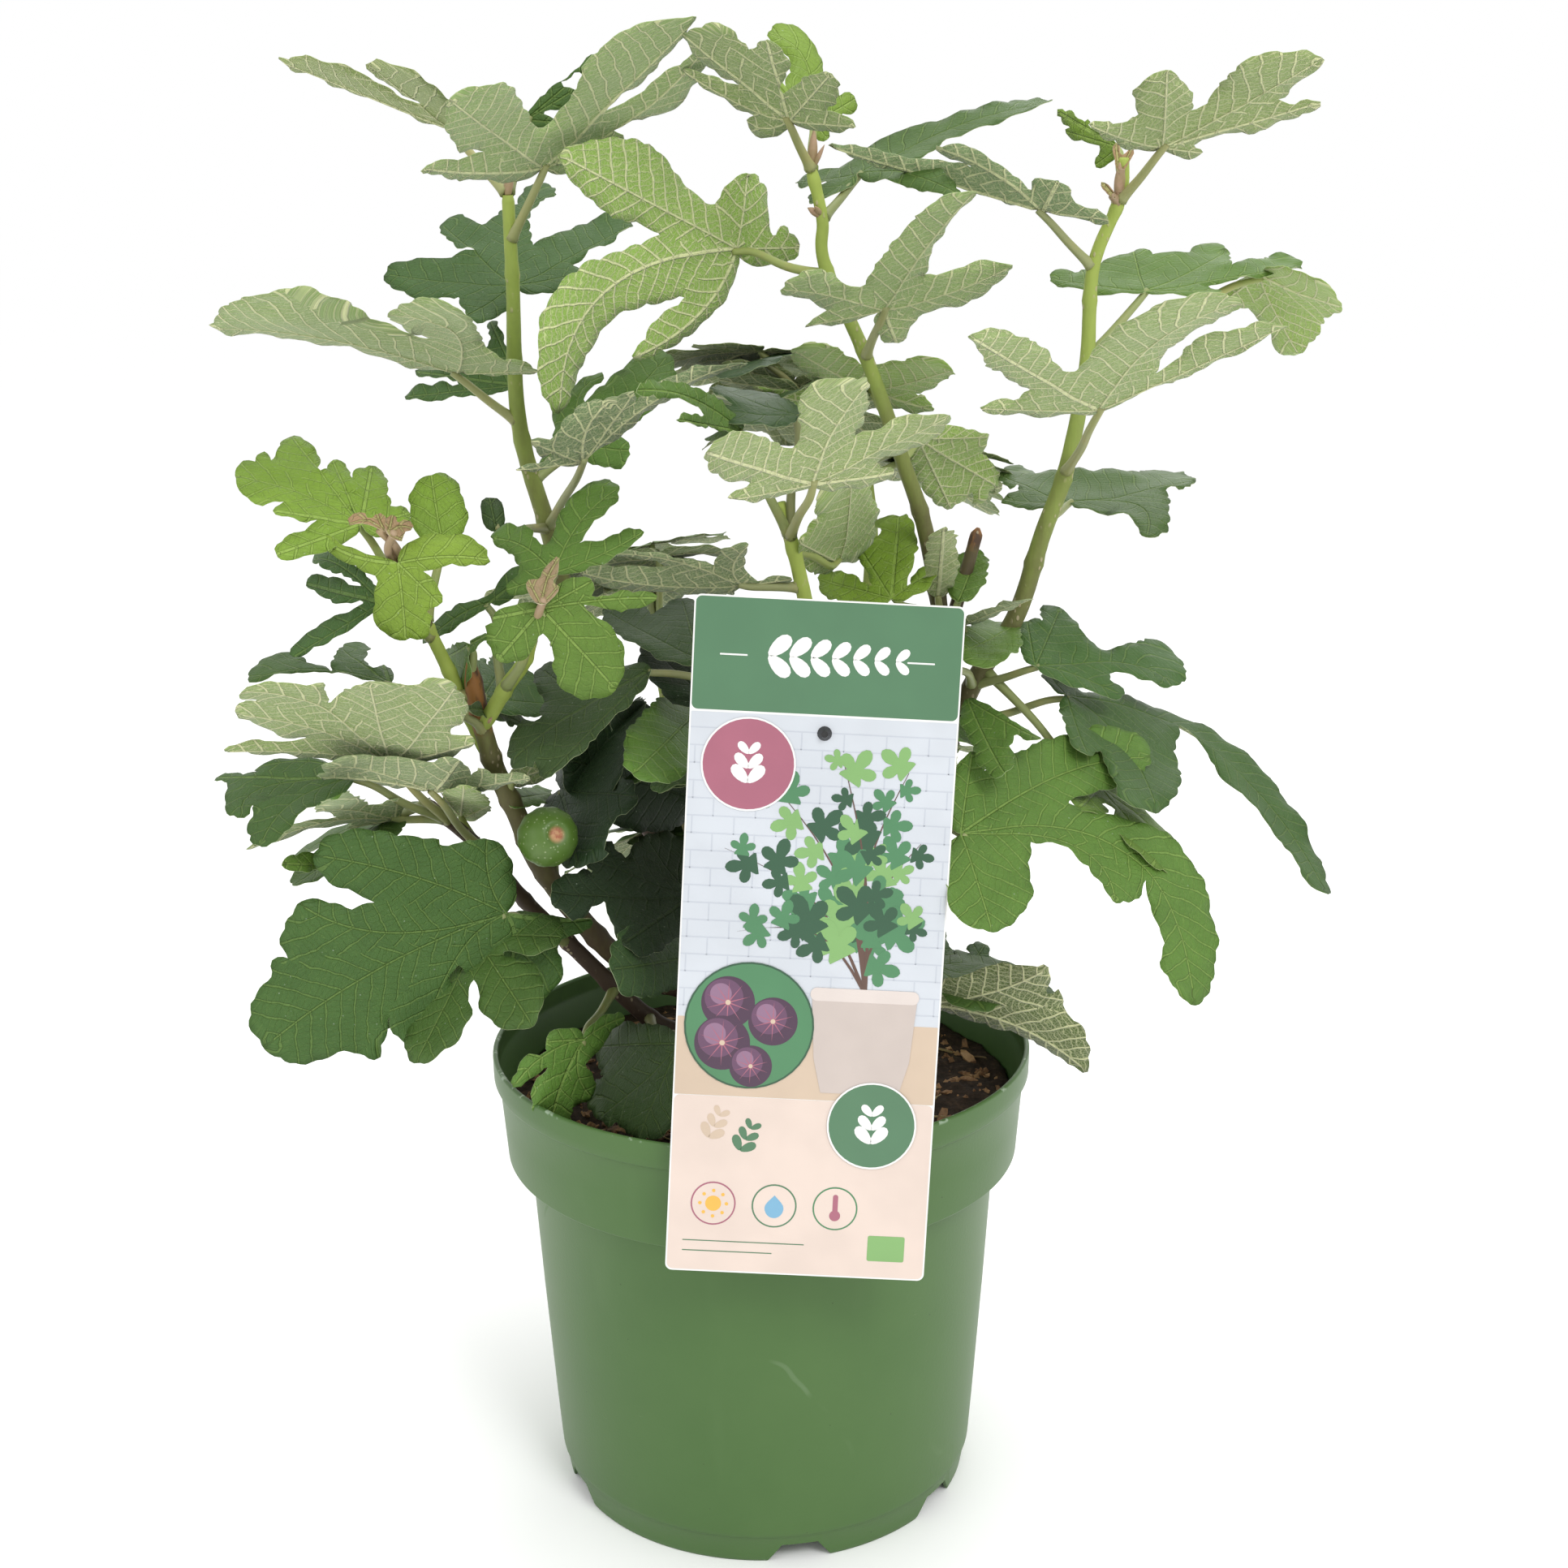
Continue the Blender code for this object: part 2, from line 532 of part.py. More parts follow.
def place_masses():
    left, low, pruned = "bough_left_tall", "bough_left_low", "bough_left_pruned"
    middle, right, front = "bough_middle_tall", "bough_right_tall", "bough_middle_front"
    Mass("foliage_left_crown", (-0.066, -0.034, 0.577), (0.066, 0.052, 0.022), (14, -22, 12), left)
    Mass("foliage_left_crown_outer", (-0.138, 0.008, 0.572), (0.048, 0.038, 0.017), (0, 24, -10), left)
    Mass("foliage_left_back", (-0.100, 0.062, 0.530), (0.050, 0.042, 0.018), (-14, -4, 8), left)
    Mass("foliage_left_reach", (-0.152, -0.002, 0.495), (0.064, 0.046, 0.018), (10, 10, -4), left)
    Mass("foliage_left_fork", (-0.052, -0.004, 0.458), (0.046, 0.046, 0.020), (6, -16, 0), left)
    Mass("foliage_middle_left", (-0.034, -0.006, 0.518), (0.040, 0.026, 0.054), (0, 24, 0), middle)
    Mass("foliage_left_outer", (-0.134, -0.102, 0.424), (0.050, 0.046, 0.036), (0, 4, 10), "shoot_left_outer")
    Mass("foliage_left_front", (-0.066, -0.104, 0.400), (0.034, 0.030, 0.038), (0, 0, 0), "shoot_left_front")
    Mass("foliage_left_low", (-0.156, -0.046, 0.355), (0.058, 0.054, 0.024), (8, 8, -6), pruned)
    Mass("foliage_left_skirt", (-0.165, -0.020, 0.303), (0.060, 0.046, 0.020), (6, -4, 0), low)
    Mass("foliage_left_hanging", (-0.130, -0.083, 0.262), (0.064, 0.022, 0.046), (-24, -18, -6), low)
    Mass("foliage_inner_left", (-0.030, 0.060, 0.310), (0.038, 0.034, 0.050), (0, 0, 0), "bough_back_left")
    Mass("foliage_inner_top", (-0.034, -0.010, 0.394), (0.044, 0.042, 0.015), (8, 2, 0), left)
    Mass("foliage_inner_front", (-0.030, -0.040, 0.330), (0.036, 0.034, 0.044), (0, 14, 0), front)
    Mass("foliage_pot_left", (-0.062, -0.058, 0.206), (0.038, 0.034, 0.024), (-10, 0, 0), low, in_pot=True)
    Mass("foliage_middle_crown", (0.006, -0.024, 0.581), (0.038, 0.036, 0.027), (10, 14, 0), middle)
    Mass("foliage_middle_bridge", (0.082, 0.026, 0.558), (0.062, 0.044, 0.020), (-6, 2, 4), middle)
    Mass("foliage_middle_upper", (0.060, -0.058, 0.512), (0.044, 0.036, 0.026), (12, -14, 0), middle)
    Mass("foliage_middle_front", (0.018, -0.096, 0.460), (0.054, 0.048, 0.028), (10, -8, 0), front)
    Mass("foliage_middle_right", (0.085, 0.030, 0.440), (0.024, 0.022, 0.020), (0, 20, 0), middle, lobes=3)
    Mass("foliage_middle_low", (0.048, -0.020, 0.402), (0.038, 0.034, 0.026), (0, 0, 0), middle)
    Mass("foliage_right_crown", (0.165, -0.012, 0.577), (0.046, 0.044, 0.023), (8, -12, 0), right)
    Mass("foliage_right_reach", (0.179, 0.024, 0.505), (0.053, 0.044, 0.021), (-10, 8, 0), right)
    Mass("foliage_right_front", (0.130, -0.074, 0.480), (0.060, 0.046, 0.020), (14, -6, 0), right)
    Mass("foliage_right_back", (0.150, 0.052, 0.426), (0.042, 0.040, 0.020), (-12, 8, 0), right)
    Mass("foliage_right_low", (0.147, 0.010, 0.372), (0.034, 0.034, 0.018), (0, 0, 0), right)
    Mass("foliage_right_hanging", (0.178, -0.030, 0.312), (0.056, 0.030, 0.024), (0, 40, 0), right)
    Mass("foliage_right_skirt", (0.122, -0.058, 0.290), (0.058, 0.034, 0.046), (-16, 14, 0), right)
    Mass("foliage_right_pot", (0.098, -0.010, 0.226), (0.036, 0.036, 0.020), (0, 22, 0), right)
    Mass("foliage_inner_right", (0.062, -0.030, 0.349), (0.026, 0.026, 0.028), (0, 0, 0), right, lobes=3)
    Mass("foliage_back_left", (-0.066, 0.104, 0.385), (0.056, 0.044, 0.036), (-10, 0, 10), "bough_back_left")
    Mass("foliage_back_right", (0.066, 0.106, 0.440), (0.056, 0.044, 0.034), (-8, 0, -8), "bough_back_right")
    Mass("foliage_back_top", (0.000, 0.060, 0.478), (0.046, 0.042, 0.028), (-10, 6, 0), "bough_back_right")
    Mass("foliage_back_low", (0.056, 0.104, 0.300), (0.052, 0.040, 0.034), (-10, 0, 0), "bough_back_right")
    Mass("foliage_back_skirt", (-0.046, 0.104, 0.268), (0.050, 0.038, 0.028), (-12, 0, 0), "bough_back_left")


# Card and its stick

def outline_circle(curve, radius, centre):
    spline = curve.splines.new("BEZIER")
    spline.bezier_points.add(3)
    handle = radius * QUARTER_CIRCLE_HANDLE
    for i, knot in enumerate(spline.bezier_points):
        turn = math.tau * i / 4
        out = Vector((math.cos(turn), math.sin(turn), 0))
        side = Vector((-out.y, out.x, 0))
        knot.co = Vector((*centre, 0)) + out * radius
        knot.handle_left = knot.co - side * handle
        knot.handle_right = knot.co + side * handle
    spline.use_cyclic_u = True
    spline.resolution_u = PEG_HOLE_STEPS


def outline_card(curve):
    """A rectangle with round corners, standing on the middle of its foot."""
    spline = curve.splines.new("POLY")
    corners = [(1, 0, -90), (1, 1, 0), (-1, 1, 90), (-1, 0, 180)]
    points = []
    for side, top, start in corners:
        middle = Vector((side * (CARD_WIDTH / 2 - CARD_CORNER), top * CARD_HEIGHT, 0))
        middle.y += CARD_CORNER if top == 0 else -CARD_CORNER
        for step in range(CORNER_STEPS + 1):
            turn = math.radians(start + 90 * step / CORNER_STEPS)
            points.append(middle + Vector((math.cos(turn), math.sin(turn), 0)) * CARD_CORNER)
    spline.points.add(len(points) - 1)
    for knot, point in zip(spline.points, points):
        knot.co = (*point, 1.0)
    spline.use_cyclic_u = True


def make_card():
    curve = bpy.data.curves.new("card_outline", "CURVE")
    curve.dimensions = "2D"
    curve.fill_mode = "BOTH"
    curve.extrude = CARD_THICKNESS / 2
    outline_card(curve)
    outline_circle(curve, PEG_HOLE_RADIUS, (PEG_ALONG, PEG_UP))
    flat = add_object("card_outline", curve, CUTTERS)
    seen = flat.evaluated_get(bpy.context.evaluated_depsgraph_get())
    mesh = bpy.data.meshes.new_from_object(seen)
    bpy.data.objects.remove(flat)
    bm = bmesh.new()
    bm.from_mesh(mesh)
    bmesh.ops.remove_doubles(bm, verts=bm.verts, dist=0.00001)
    bmesh.ops.recalc_face_normals(bm, faces=bm.faces)
    bm.to_mesh(mesh)
    bm.free()
    mesh.name = "label_card"
    card = add_object("label_card", mesh, PLANT, CARD_PRINT)
    card.matrix_world = card_frame() @ Matrix.Rotation(math.radians(90), 4, "X")


def stick_frame():
    """From the stick's own frame, with the peg's height on its middle at nought, to the world."""
    peg = card_frame() @ Vector((PEG_ALONG, 0, PEG_UP))
    middle = peg + Vector((0, STICK_BEHIND_CARD + STICK_THICKNESS / 2, 0))
    return Matrix.Translation(middle) @ Matrix.Rotation(math.radians(STICK_LEAN_FORWARD), 4, "X")


def stick_blade(name, spare):
    """The flat stick, larger all round by a spare width."""
    bm = bmesh.new()
    length = STICK_LENGTH + 2 * spare
    middle = STICK_ABOVE_PEG - STICK_LENGTH / 2
    size = (STICK_WIDTH + 2 * spare, STICK_THICKNESS + 2 * spare, length)
    bmesh.ops.create_cube(bm, size=1.0, matrix=stick_frame() @ Matrix.Translation((0, 0, middle))
                          @ Matrix.Diagonal((*size, 1.0)))
    return mesh_from(name, bm)


def peg():
    """A round peg along the card's normal, with a low cone for its head."""
    frame = card_frame() @ Matrix.Translation((PEG_ALONG, 0, PEG_UP)) @ Matrix.Rotation(math.radians(90), 4, "X")
    front = CARD_THICKNESS / 2 + GAP
    back = STICK_BEHIND_CARD + STICK_THICKNESS / 2
    bm = bmesh.new()
    bmesh.ops.create_cone(bm, cap_ends=True, segments=16, radius1=PEG_RADIUS, radius2=PEG_RADIUS,
                          depth=front + PEG_OVERLAP + back,
                          matrix=frame @ Matrix.Translation((0, 0, (front + PEG_OVERLAP - back) / 2)))
    shaft = mesh_from("peg_shaft", bm)
    bm = bmesh.new()
    bmesh.ops.create_cone(bm, cap_ends=True, segments=16, radius1=PEG_HEAD_RADIUS,
                          radius2=PEG_HEAD_RADIUS * PEG_HEAD_TAPER, depth=PEG_HEAD_LENGTH,
                          matrix=frame @ Matrix.Translation((0, 0, front + PEG_HEAD_LENGTH / 2)))
    head = mesh_from("peg_head", bm)
    return cutter("peg_shaft", shaft), cutter("peg_head", head)


def make_stick():
    """A flat stick behind the card, pushed into the root ball, with a peg through the card's hole."""
    stick = add_object("label_stick", stick_blade("label_stick", 0.0), PLANT, STICK_BLACK)
    for piece in peg():
        joined = stick.modifiers.new("joined", "BOOLEAN")
        joined.operation = "UNION"
        joined.solver = "EXACT"
        joined.object = piece
    cut(bpy.data.objects["root_ball"], cutter("stick_slot", stick_blade("stick_slot", GAP)))


clear_scene()
PLANT = new_collection("potted_fig_tree")
CUTTERS = new_collection("cutters")
LIMBS = {}
MASSES = []
POT_GREEN = material("pot_green", (0.115, 0.225, 0.085), 0.42)
SOIL_BROWN = material("soil_brown", (0.035, 0.022, 0.014), 0.95)
BARK = material("bark", (0.095, 0.070, 0.035), 0.80)
GREEN_WOOD = material("green_wood", (0.150, 0.220, 0.050), 0.60)
FOLIAGE = material("foliage", (0.080, 0.180, 0.050), 0.60)
CARD_PRINT = material("card_print", (0.640, 0.680, 0.640), 0.35)
STICK_BLACK = material("stick_black", (0.012, 0.012, 0.012), 0.35)

make_pot()
make_root_ball()
make_trunk()
make_boughs()
place_masses()
for foliage in MASSES:
    foliage.make()
make_card()
make_stick()
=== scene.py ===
"""The looks of a young fig tree in its nursery pot: leaves, stems, fruit, pot, soil and care card.

Metres, +Z up, front along -Y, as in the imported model. Places given in pixels are read in a picture
1932 pixels wide and high, seen through the camera that is set up here.
"""
import math
import random

import bmesh
import bpy
import numpy as np
from mathutils import Matrix, Vector, noise
from mathutils.geometry import delaunay_2d_cdt


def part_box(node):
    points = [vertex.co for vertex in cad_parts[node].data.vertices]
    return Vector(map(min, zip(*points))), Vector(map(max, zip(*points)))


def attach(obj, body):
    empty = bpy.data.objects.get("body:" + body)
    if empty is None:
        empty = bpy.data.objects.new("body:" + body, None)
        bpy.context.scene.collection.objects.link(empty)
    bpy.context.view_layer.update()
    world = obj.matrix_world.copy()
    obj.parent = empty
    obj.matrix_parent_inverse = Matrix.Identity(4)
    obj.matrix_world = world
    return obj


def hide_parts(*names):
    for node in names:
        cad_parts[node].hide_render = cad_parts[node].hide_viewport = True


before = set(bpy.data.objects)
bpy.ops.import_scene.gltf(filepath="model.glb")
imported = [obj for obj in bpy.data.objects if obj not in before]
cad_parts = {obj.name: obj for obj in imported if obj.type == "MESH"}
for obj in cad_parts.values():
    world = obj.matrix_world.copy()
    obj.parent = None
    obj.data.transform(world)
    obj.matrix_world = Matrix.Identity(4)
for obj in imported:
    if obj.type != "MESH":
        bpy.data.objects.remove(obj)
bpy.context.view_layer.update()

# Camera: a long lens, a little above the pot, looking down on it
PICTURE_SIZE = 1932
FOCAL_PIXELS = 2530.0
CAMERA_PLACE = Vector((0.0106, -0.8270, 0.5293))
CAMERA_PITCH = 14.9
CAMERA_ROLL = -0.0079
SENSOR_WIDTH = 36.0
CAMERA_TURN = Matrix.Rotation(math.radians(90 - CAMERA_PITCH), 3, "X") @ Matrix.Rotation(CAMERA_ROLL, 3, "Z")

SEED = 20


def ray(u, v):
    """Direction from the camera through a pixel."""
    half = PICTURE_SIZE / 2
    return CAMERA_TURN @ Vector(((u - half) / FOCAL_PIXELS, (half - v) / FOCAL_PIXELS, -1.0))


def spot(u, v, y):
    """The place seen at a pixel, at a given depth."""
    direction = ray(u, v)
    return CAMERA_PLACE + direction * ((y - CAMERA_PLACE.y) / direction.y)


def pixel(point):
    seen = CAMERA_TURN.transposed() @ (Vector(point) - CAMERA_PLACE)
    half = PICTURE_SIZE / 2
    return Vector((half + FOCAL_PIXELS * seen.x / -seen.z, half - FOCAL_PIXELS * seen.y / -seen.z))


# Materials


class Socket:
    """An output of a shader node, on which sums add Math nodes."""

    def __init__(self, finish, output):
        self.finish = finish
        self.output = output

    def math(self, operation, *values):
        return self.finish.node("ShaderNodeMath", {"operation": operation}, [self, *values])

    def __add__(self, other):
        return self.math("ADD", other)

    def __radd__(self, other):
        return self.math("ADD", other)

    def __sub__(self, other):
        return self.math("SUBTRACT", other)

    def __rsub__(self, other):
        return self.finish.node("ShaderNodeMath", {"operation": "SUBTRACT"}, [other, self])

    def __mul__(self, other):
        return self.math("MULTIPLY", other)

    def __rmul__(self, other):
        return self.math("MULTIPLY", other)

    def __truediv__(self, other):
        return self.math("DIVIDE", other)

    def __abs__(self):
        return self.math("ABSOLUTE")

    def fraction(self):
        return self.math("FRACT")

    def power(self, other):
        return self.math("POWER", other)

    def most(self, other):
        return self.math("MAXIMUM", other)

    def step(self, low, high):
        """Smoothly from nought at low to one at high; the other way round when low is the larger."""
        ranged = {"interpolation_type": "SMOOTHSTEP"}
        if low < high:
            return self.finish.node("ShaderNodeMapRange", ranged, {"Value": self, "From Min": low, "From Max": high})
        return 1 - self.finish.node("ShaderNodeMapRange", ranged, {"Value": self, "From Min": high, "From Max": low})


class Finish:
    """A material with its Principled shader."""

    def __init__(self, name, **constants):
        self.material = bpy.data.materials.new(name)
        self.material.use_nodes = True
        self.tree = self.material.node_tree
        self.shader = self.tree.nodes["Principled BSDF"]
        for socket, value in constants.items():
            self.shader.inputs[socket.replace("_", " ")].default_value = value

    def node(self, kind, settings, inputs):
        """A node of one kind, with its settings first, then the values or links of its sockets."""
        made = self.tree.nodes.new(kind)
        for key, value in settings.items():
            if key == "stops":
                while len(made.color_ramp.elements) < len(value):
                    made.color_ramp.elements.new(0.5)
                for element, (place, color) in zip(made.color_ramp.elements, value):
                    element.position = place
                    element.color = (*color, 1.0)
            else:
                setattr(made, key, value)
        pairs = inputs.items() if isinstance(inputs, dict) else enumerate(inputs)
        for key, value in pairs:
            if isinstance(value, Socket):
                self.tree.links.new(value.output, made.inputs[key])
            else:
                made.inputs[key].default_value = value
        return Socket(self, next(output for output in made.outputs if output.enabled))

    def coordinate(self, name):
        made = self.tree.nodes.new("ShaderNodeTexCoord")
        return Socket(self, made.outputs[name])

    def attribute(self, name, output="Fac"):
        made = self.tree.nodes.new("ShaderNodeAttribute")
        made.attribute_name = name
        return Socket(self, made.outputs[output])

    def uv(self, name):
        made = self.tree.nodes.new("ShaderNodeUVMap")
        made.uv_map = name
        return Socket(self, made.outputs["UV"])

    def parts(self, vector):
        made = self.tree.nodes.new("ShaderNodeSeparateXYZ")
        self.tree.links.new(vector.output, made.inputs[0])
        return [Socket(self, made.outputs[i]) for i in range(3)]

    def stretched(self, vector, scale, rotation=(0, 0, 0)):
        return self.node("ShaderNodeMapping", {}, {"Vector": vector, "Scale": scale, "Rotation": rotation})

    def noise(self, vector, scale, detail=4.0, roughness=0.55, distortion=0.0):
        return self.node("ShaderNodeTexNoise", {}, {"Vector": vector, "Scale": scale, "Detail": detail,
                                                    "Roughness": roughness, "Distortion": distortion})

    def cells(self, vector, scale, feature="F1", randomness=1.0):
        return self.node("ShaderNodeTexVoronoi", {"feature": feature},
                         {"Vector": vector, "Scale": scale, "Randomness": randomness})

    def mix(self, factor, first, second, blend="MIX"):
        made = self.tree.nodes.new("ShaderNodeMix")
        made.data_type = "RGBA"
        made.blend_type = blend
        for index, value in ((0, factor), (6, first), (7, second)):
            if isinstance(value, Socket):
                self.tree.links.new(value.output, made.inputs[index])
            else:
                made.inputs[index].default_value = (*value, 1.0) if isinstance(value, tuple) else value
        return Socket(self, made.outputs[2])

    def ramp(self, value, *stops):
        return self.node("ShaderNodeValToRGB", {"stops": stops}, {"Fac": value})

    def bump(self, height, distance, strength=1.0):
        return self.node("ShaderNodeBump", {}, {"Height": height, "Distance": distance, "Strength": strength})

    def set(self, **links):
        for socket, value in links.items():
            self.tree.links.new(value.output, self.shader.inputs[socket.replace("_", " ")])
        return self.material


def vein_masks(finish):
    """Main vein, side veins, cross veins and the fine net, from the leaf's own vein coordinates in centimetres."""
    across, along, _ = finish.parts(finish.uv("vein"))
    flat = finish.uv("vein")
    across = abs(across)
    wander = finish.noise(flat, 0.9, 2.0)
    main = (across - (0.075 - along * 0.004).most(0.02)).step(0.045, 0.0)
    slant = along - across * 0.78 + across * across * 0.035 + (wander - 0.5) * 0.45
    side = (abs((slant / 0.68).fraction() - 0.5) * 0.68).step(0.072, 0.030)
    crossing = along * 0.62 + across + (finish.noise(flat, 2.6, 2.0) - 0.5) * 0.45
    cross = (abs((crossing / 0.27).fraction() - 0.5) * 0.27).step(0.040, 0.010)
    net = finish.cells(flat, 8.0, "DISTANCE_TO_EDGE").step(0.12, 0.02)
    return main, side, cross, net, slant, flat


def leaf_upper():
    finish = Finish("leaf_upper", Roughness=0.5, Specular_IOR_Level=0.26)
    main, side, cross, net, slant, flat = vein_masks(finish)
    tint = finish.attribute("leaf_color", "Color")
    veins = main.most(side * 0.70).most(cross * 0.20)
    mottle = finish.noise(flat, 0.55, 4.0).step(0.30, 0.75)
    body = finish.mix(mottle * 0.40, tint, finish.mix(0.5, tint, (0.012, 0.035, 0.012)))
    _, green, _ = finish.parts(tint)
    pale = finish.mix(green.step(-0.02, 0.27) * 0.52, tint, (0.36, 0.50, 0.13))
    color = finish.mix(net * 0.10, body, pale)
    color = finish.mix(veins * 0.72, color, pale)
    dust = finish.cells(flat, 2.2).step(0.085, 0.03)
    color = finish.mix(dust * 0.35, color, (0.45, 0.52, 0.42))
    sheen = finish.noise(flat, 1.4, 3.0)
    quilt = (1 - main) * 0.9 + (1 - side) * 0.7 + (1 - cross) * 0.22 + (1 - net) * 0.10
    return finish.set(Base_Color=color, Roughness=sheen * 0.20 + 0.42, Normal=finish.bump(quilt, 0.0009, 0.9))


def leaf_under():
    finish = Finish("leaf_under", Roughness=0.78, Specular_IOR_Level=0.25, Sheen_Weight=0.25, Sheen_Roughness=0.5)
    main, side, cross, net, slant, flat = vein_masks(finish)
    tint = finish.attribute("under_color", "Color")
    cream = finish.mix(0.85, tint, (0.74, 0.75, 0.42))
    body = finish.mix(finish.noise(flat, 0.6, 3.0).step(0.3, 0.8) * 0.35, tint,
                      finish.mix(0.5, tint, (0.10, 0.17, 0.06)))
    color = finish.mix(net * 0.30, body, cream)
    color = finish.mix(cross * 0.50, color, cream)
    color = finish.mix(side * 0.85, color, cream)
    color = finish.mix(main * 0.95, color, cream)
    relief = main * 0.9 + side * 0.8 + cross * 0.35 + net * 0.15
    return finish.set(Base_Color=color, Normal=finish.bump(relief, 0.0009, 0.9))


def leaf_rim():
    finish = Finish("leaf_rim", Roughness=0.7)
    tint = finish.attribute("under_color", "Color")
    return finish.set(Base_Color=finish.mix(0.3, tint, (0.55, 0.60, 0.35)))


def stem_bark():
    """Purple-brown wood at the foot, olive with brown blotches above it, green towards the tips."""
    finish = Finish("stem_bark", Roughness=0.62, Specular_IOR_Level=0.35)
    age = finish.attribute("age")
    place = finish.coordinate("Object")
    long_grain = finish.stretched(place, (1.0, 1.0, 0.35))
    blotch = finish.noise(long_grain, 140.0, 5.0, 0.65)
    color = finish.ramp(age + (blotch - 0.5) * 0.34, (0.0, (0.330, 0.410, 0.080)), (0.30, (0.210, 0.270, 0.055)),
                        (0.52, (0.110, 0.105, 0.035)), (0.72, (0.072, 0.046, 0.028)), (1.0, (0.050, 0.032, 0.026)))
    parched = finish.ramp(blotch, (0.40, (0.075, 0.042, 0.024)), (0.52, (0.270, 0.120, 0.034)))
    color = finish.mix(finish.attribute("dry"), color, parched)
    dots = finish.cells(finish.stretched(place, (1.0, 1.0, 0.55)), 420.0).step(0.34, 0.20)
    sparse = finish.noise(place, 90.0, 2.0).step(0.50, 0.62)
    color = finish.mix(dots * sparse * 0.65, color, (0.44, 0.37, 0.24))
    streak = finish.noise(finish.stretched(place, (1.0, 1.0, 0.12)), 900.0, 3.0)
    height = streak * 0.5 * age + dots * sparse * 0.8 + blotch * 0.5
    return finish.set(Base_Color=color, Normal=finish.bump(height, 0.0004, 0.8))


def petiole_skin():
    finish = Finish("petiole_skin", Roughness=0.5, Specular_IOR_Level=0.4)
    place = finish.coordinate("Object")
    tint = finish.attribute("stalk_color", "Color")
    patch = finish.noise(place, 110.0, 3.0)
    return finish.set(Base_Color=finish.mix(patch.step(0.45, 0.75) * 0.4, tint, (0.36, 0.30, 0.10)))


def young_skin():
    """Unfolding leaves and bud scales, pinkish brown."""
    finish = Finish("young_skin", Roughness=0.6)
    patch = finish.noise(finish.coordinate("Object"), 160.0, 3.0)
    return finish.set(Base_Color=finish.ramp(patch, (0.35, (0.26, 0.20, 0.085)), (0.62, (0.40, 0.26, 0.17))))


def fruit_skin():
    finish = Finish("fruit_skin", Roughness=0.42, Specular_IOR_Level=0.4)
    rib, height, _ = finish.parts(finish.uv("fruit"))
    place = finish.coordinate("Object")
    bloom = finish.noise(place, 120.0, 4.0)
    green = finish.mix(bloom.step(0.35, 0.7) * 0.7, (0.068, 0.135, 0.018), (0.095, 0.160, 0.040))
    grey = finish.mix(height.step(0.35, 0.0) * 0.55, green, (0.13, 0.19, 0.09))
    specks = finish.cells(place, 520.0).step(0.26, 0.12)
    color = finish.mix(specks * 0.5, grey, (0.34, 0.40, 0.22))
    scar = finish.noise(place, 300.0, 4.0)
    blush = height.step(0.90, 0.965)
    color = finish.mix(blush, color, finish.mix(scar.step(0.4, 0.6), (0.32, 0.10, 0.055), (0.45, 0.25, 0.12)))
    return finish.set(Base_Color=color, Normal=finish.bump(bloom, 0.0003, 0.6))


def pot_plastic():
    """Moulded green plastic: satin, a little blotchy, scuffed at the rim and scratched on the body."""
    finish = Finish("pot_plastic", Specular_IOR_Level=0.32)
    place = finish.coordinate("Object")
    x, y, z = finish.parts(place)
    cloud = finish.noise(place, 9.0, 4.0, 0.6)
    flow = finish.noise(finish.stretched(place, (1.0, 1.0, 0.25)), 45.0, 3.0)
    color = finish.mix(cloud.step(0.3, 0.7), (0.060, 0.128, 0.034), (0.070, 0.142, 0.040))
    color = finish.mix(flow.step(0.55, 0.8) * 0.20, color, (0.092, 0.168, 0.058))
    sweep = finish.node("ShaderNodeTexWave", {"wave_type": "RINGS", "rings_direction": "Y"},
                        {"Vector": finish.stretched(place, (1.0, 1.0, 1.0), (0.5, 0.0, 0.2)), "Scale": 9.0,
                         "Distortion": 3.0, "Detail": 2.0, "Detail Scale": 2.0})
    thin = sweep.step(0.985, 0.999) * finish.noise(place, 16.0, 3.0).step(0.60, 0.70)
    scratch = finish.noise(finish.stretched(place, (6.0, 6.0, 60.0), (0.0, 0.25, 0.0)), 9.0, 6.0, 0.7)
    scuff = (scratch.step(0.68, 0.74) * finish.noise(place, 22.0, 2.0).step(0.55, 0.68)).most(thin)
    color = finish.mix(scuff * 0.16, color, (0.36, 0.44, 0.32))
    specks = finish.cells(place, 150.0).step(0.055, 0.03) * finish.noise(place, 30.0, 1.0).step(0.5, 0.6)
    color = finish.mix(specks * 0.8, color, (0.02, 0.025, 0.015))
    nick = finish.noise(place, 190.0, 3.0).step(0.56, 0.66) * z.step(0.1955, 0.1970)
    color = finish.mix(nick * 0.55, color, (0.48, 0.58, 0.46))
    radius = (x * x + y * y).power(0.5)
    inside = radius.step(0.1090, 0.1070) * z.step(0.166, 0.172)
    soiled = finish.noise(place, 60.0, 5.0).step(0.42, 0.70) * inside * z.step(0.192, 0.180)
    color = finish.mix(soiled * 0.55, color, (0.028, 0.022, 0.014))
    grain = finish.noise(place, 700.0, 3.0)
    height = grain * 0.25 - scuff * 0.15 + cloud * 0.8
    return finish.set(Base_Color=color, Roughness=cloud * 0.12 + scuff * 0.25 + 0.36,
                      Normal=finish.bump(height, 0.00025, 0.7))


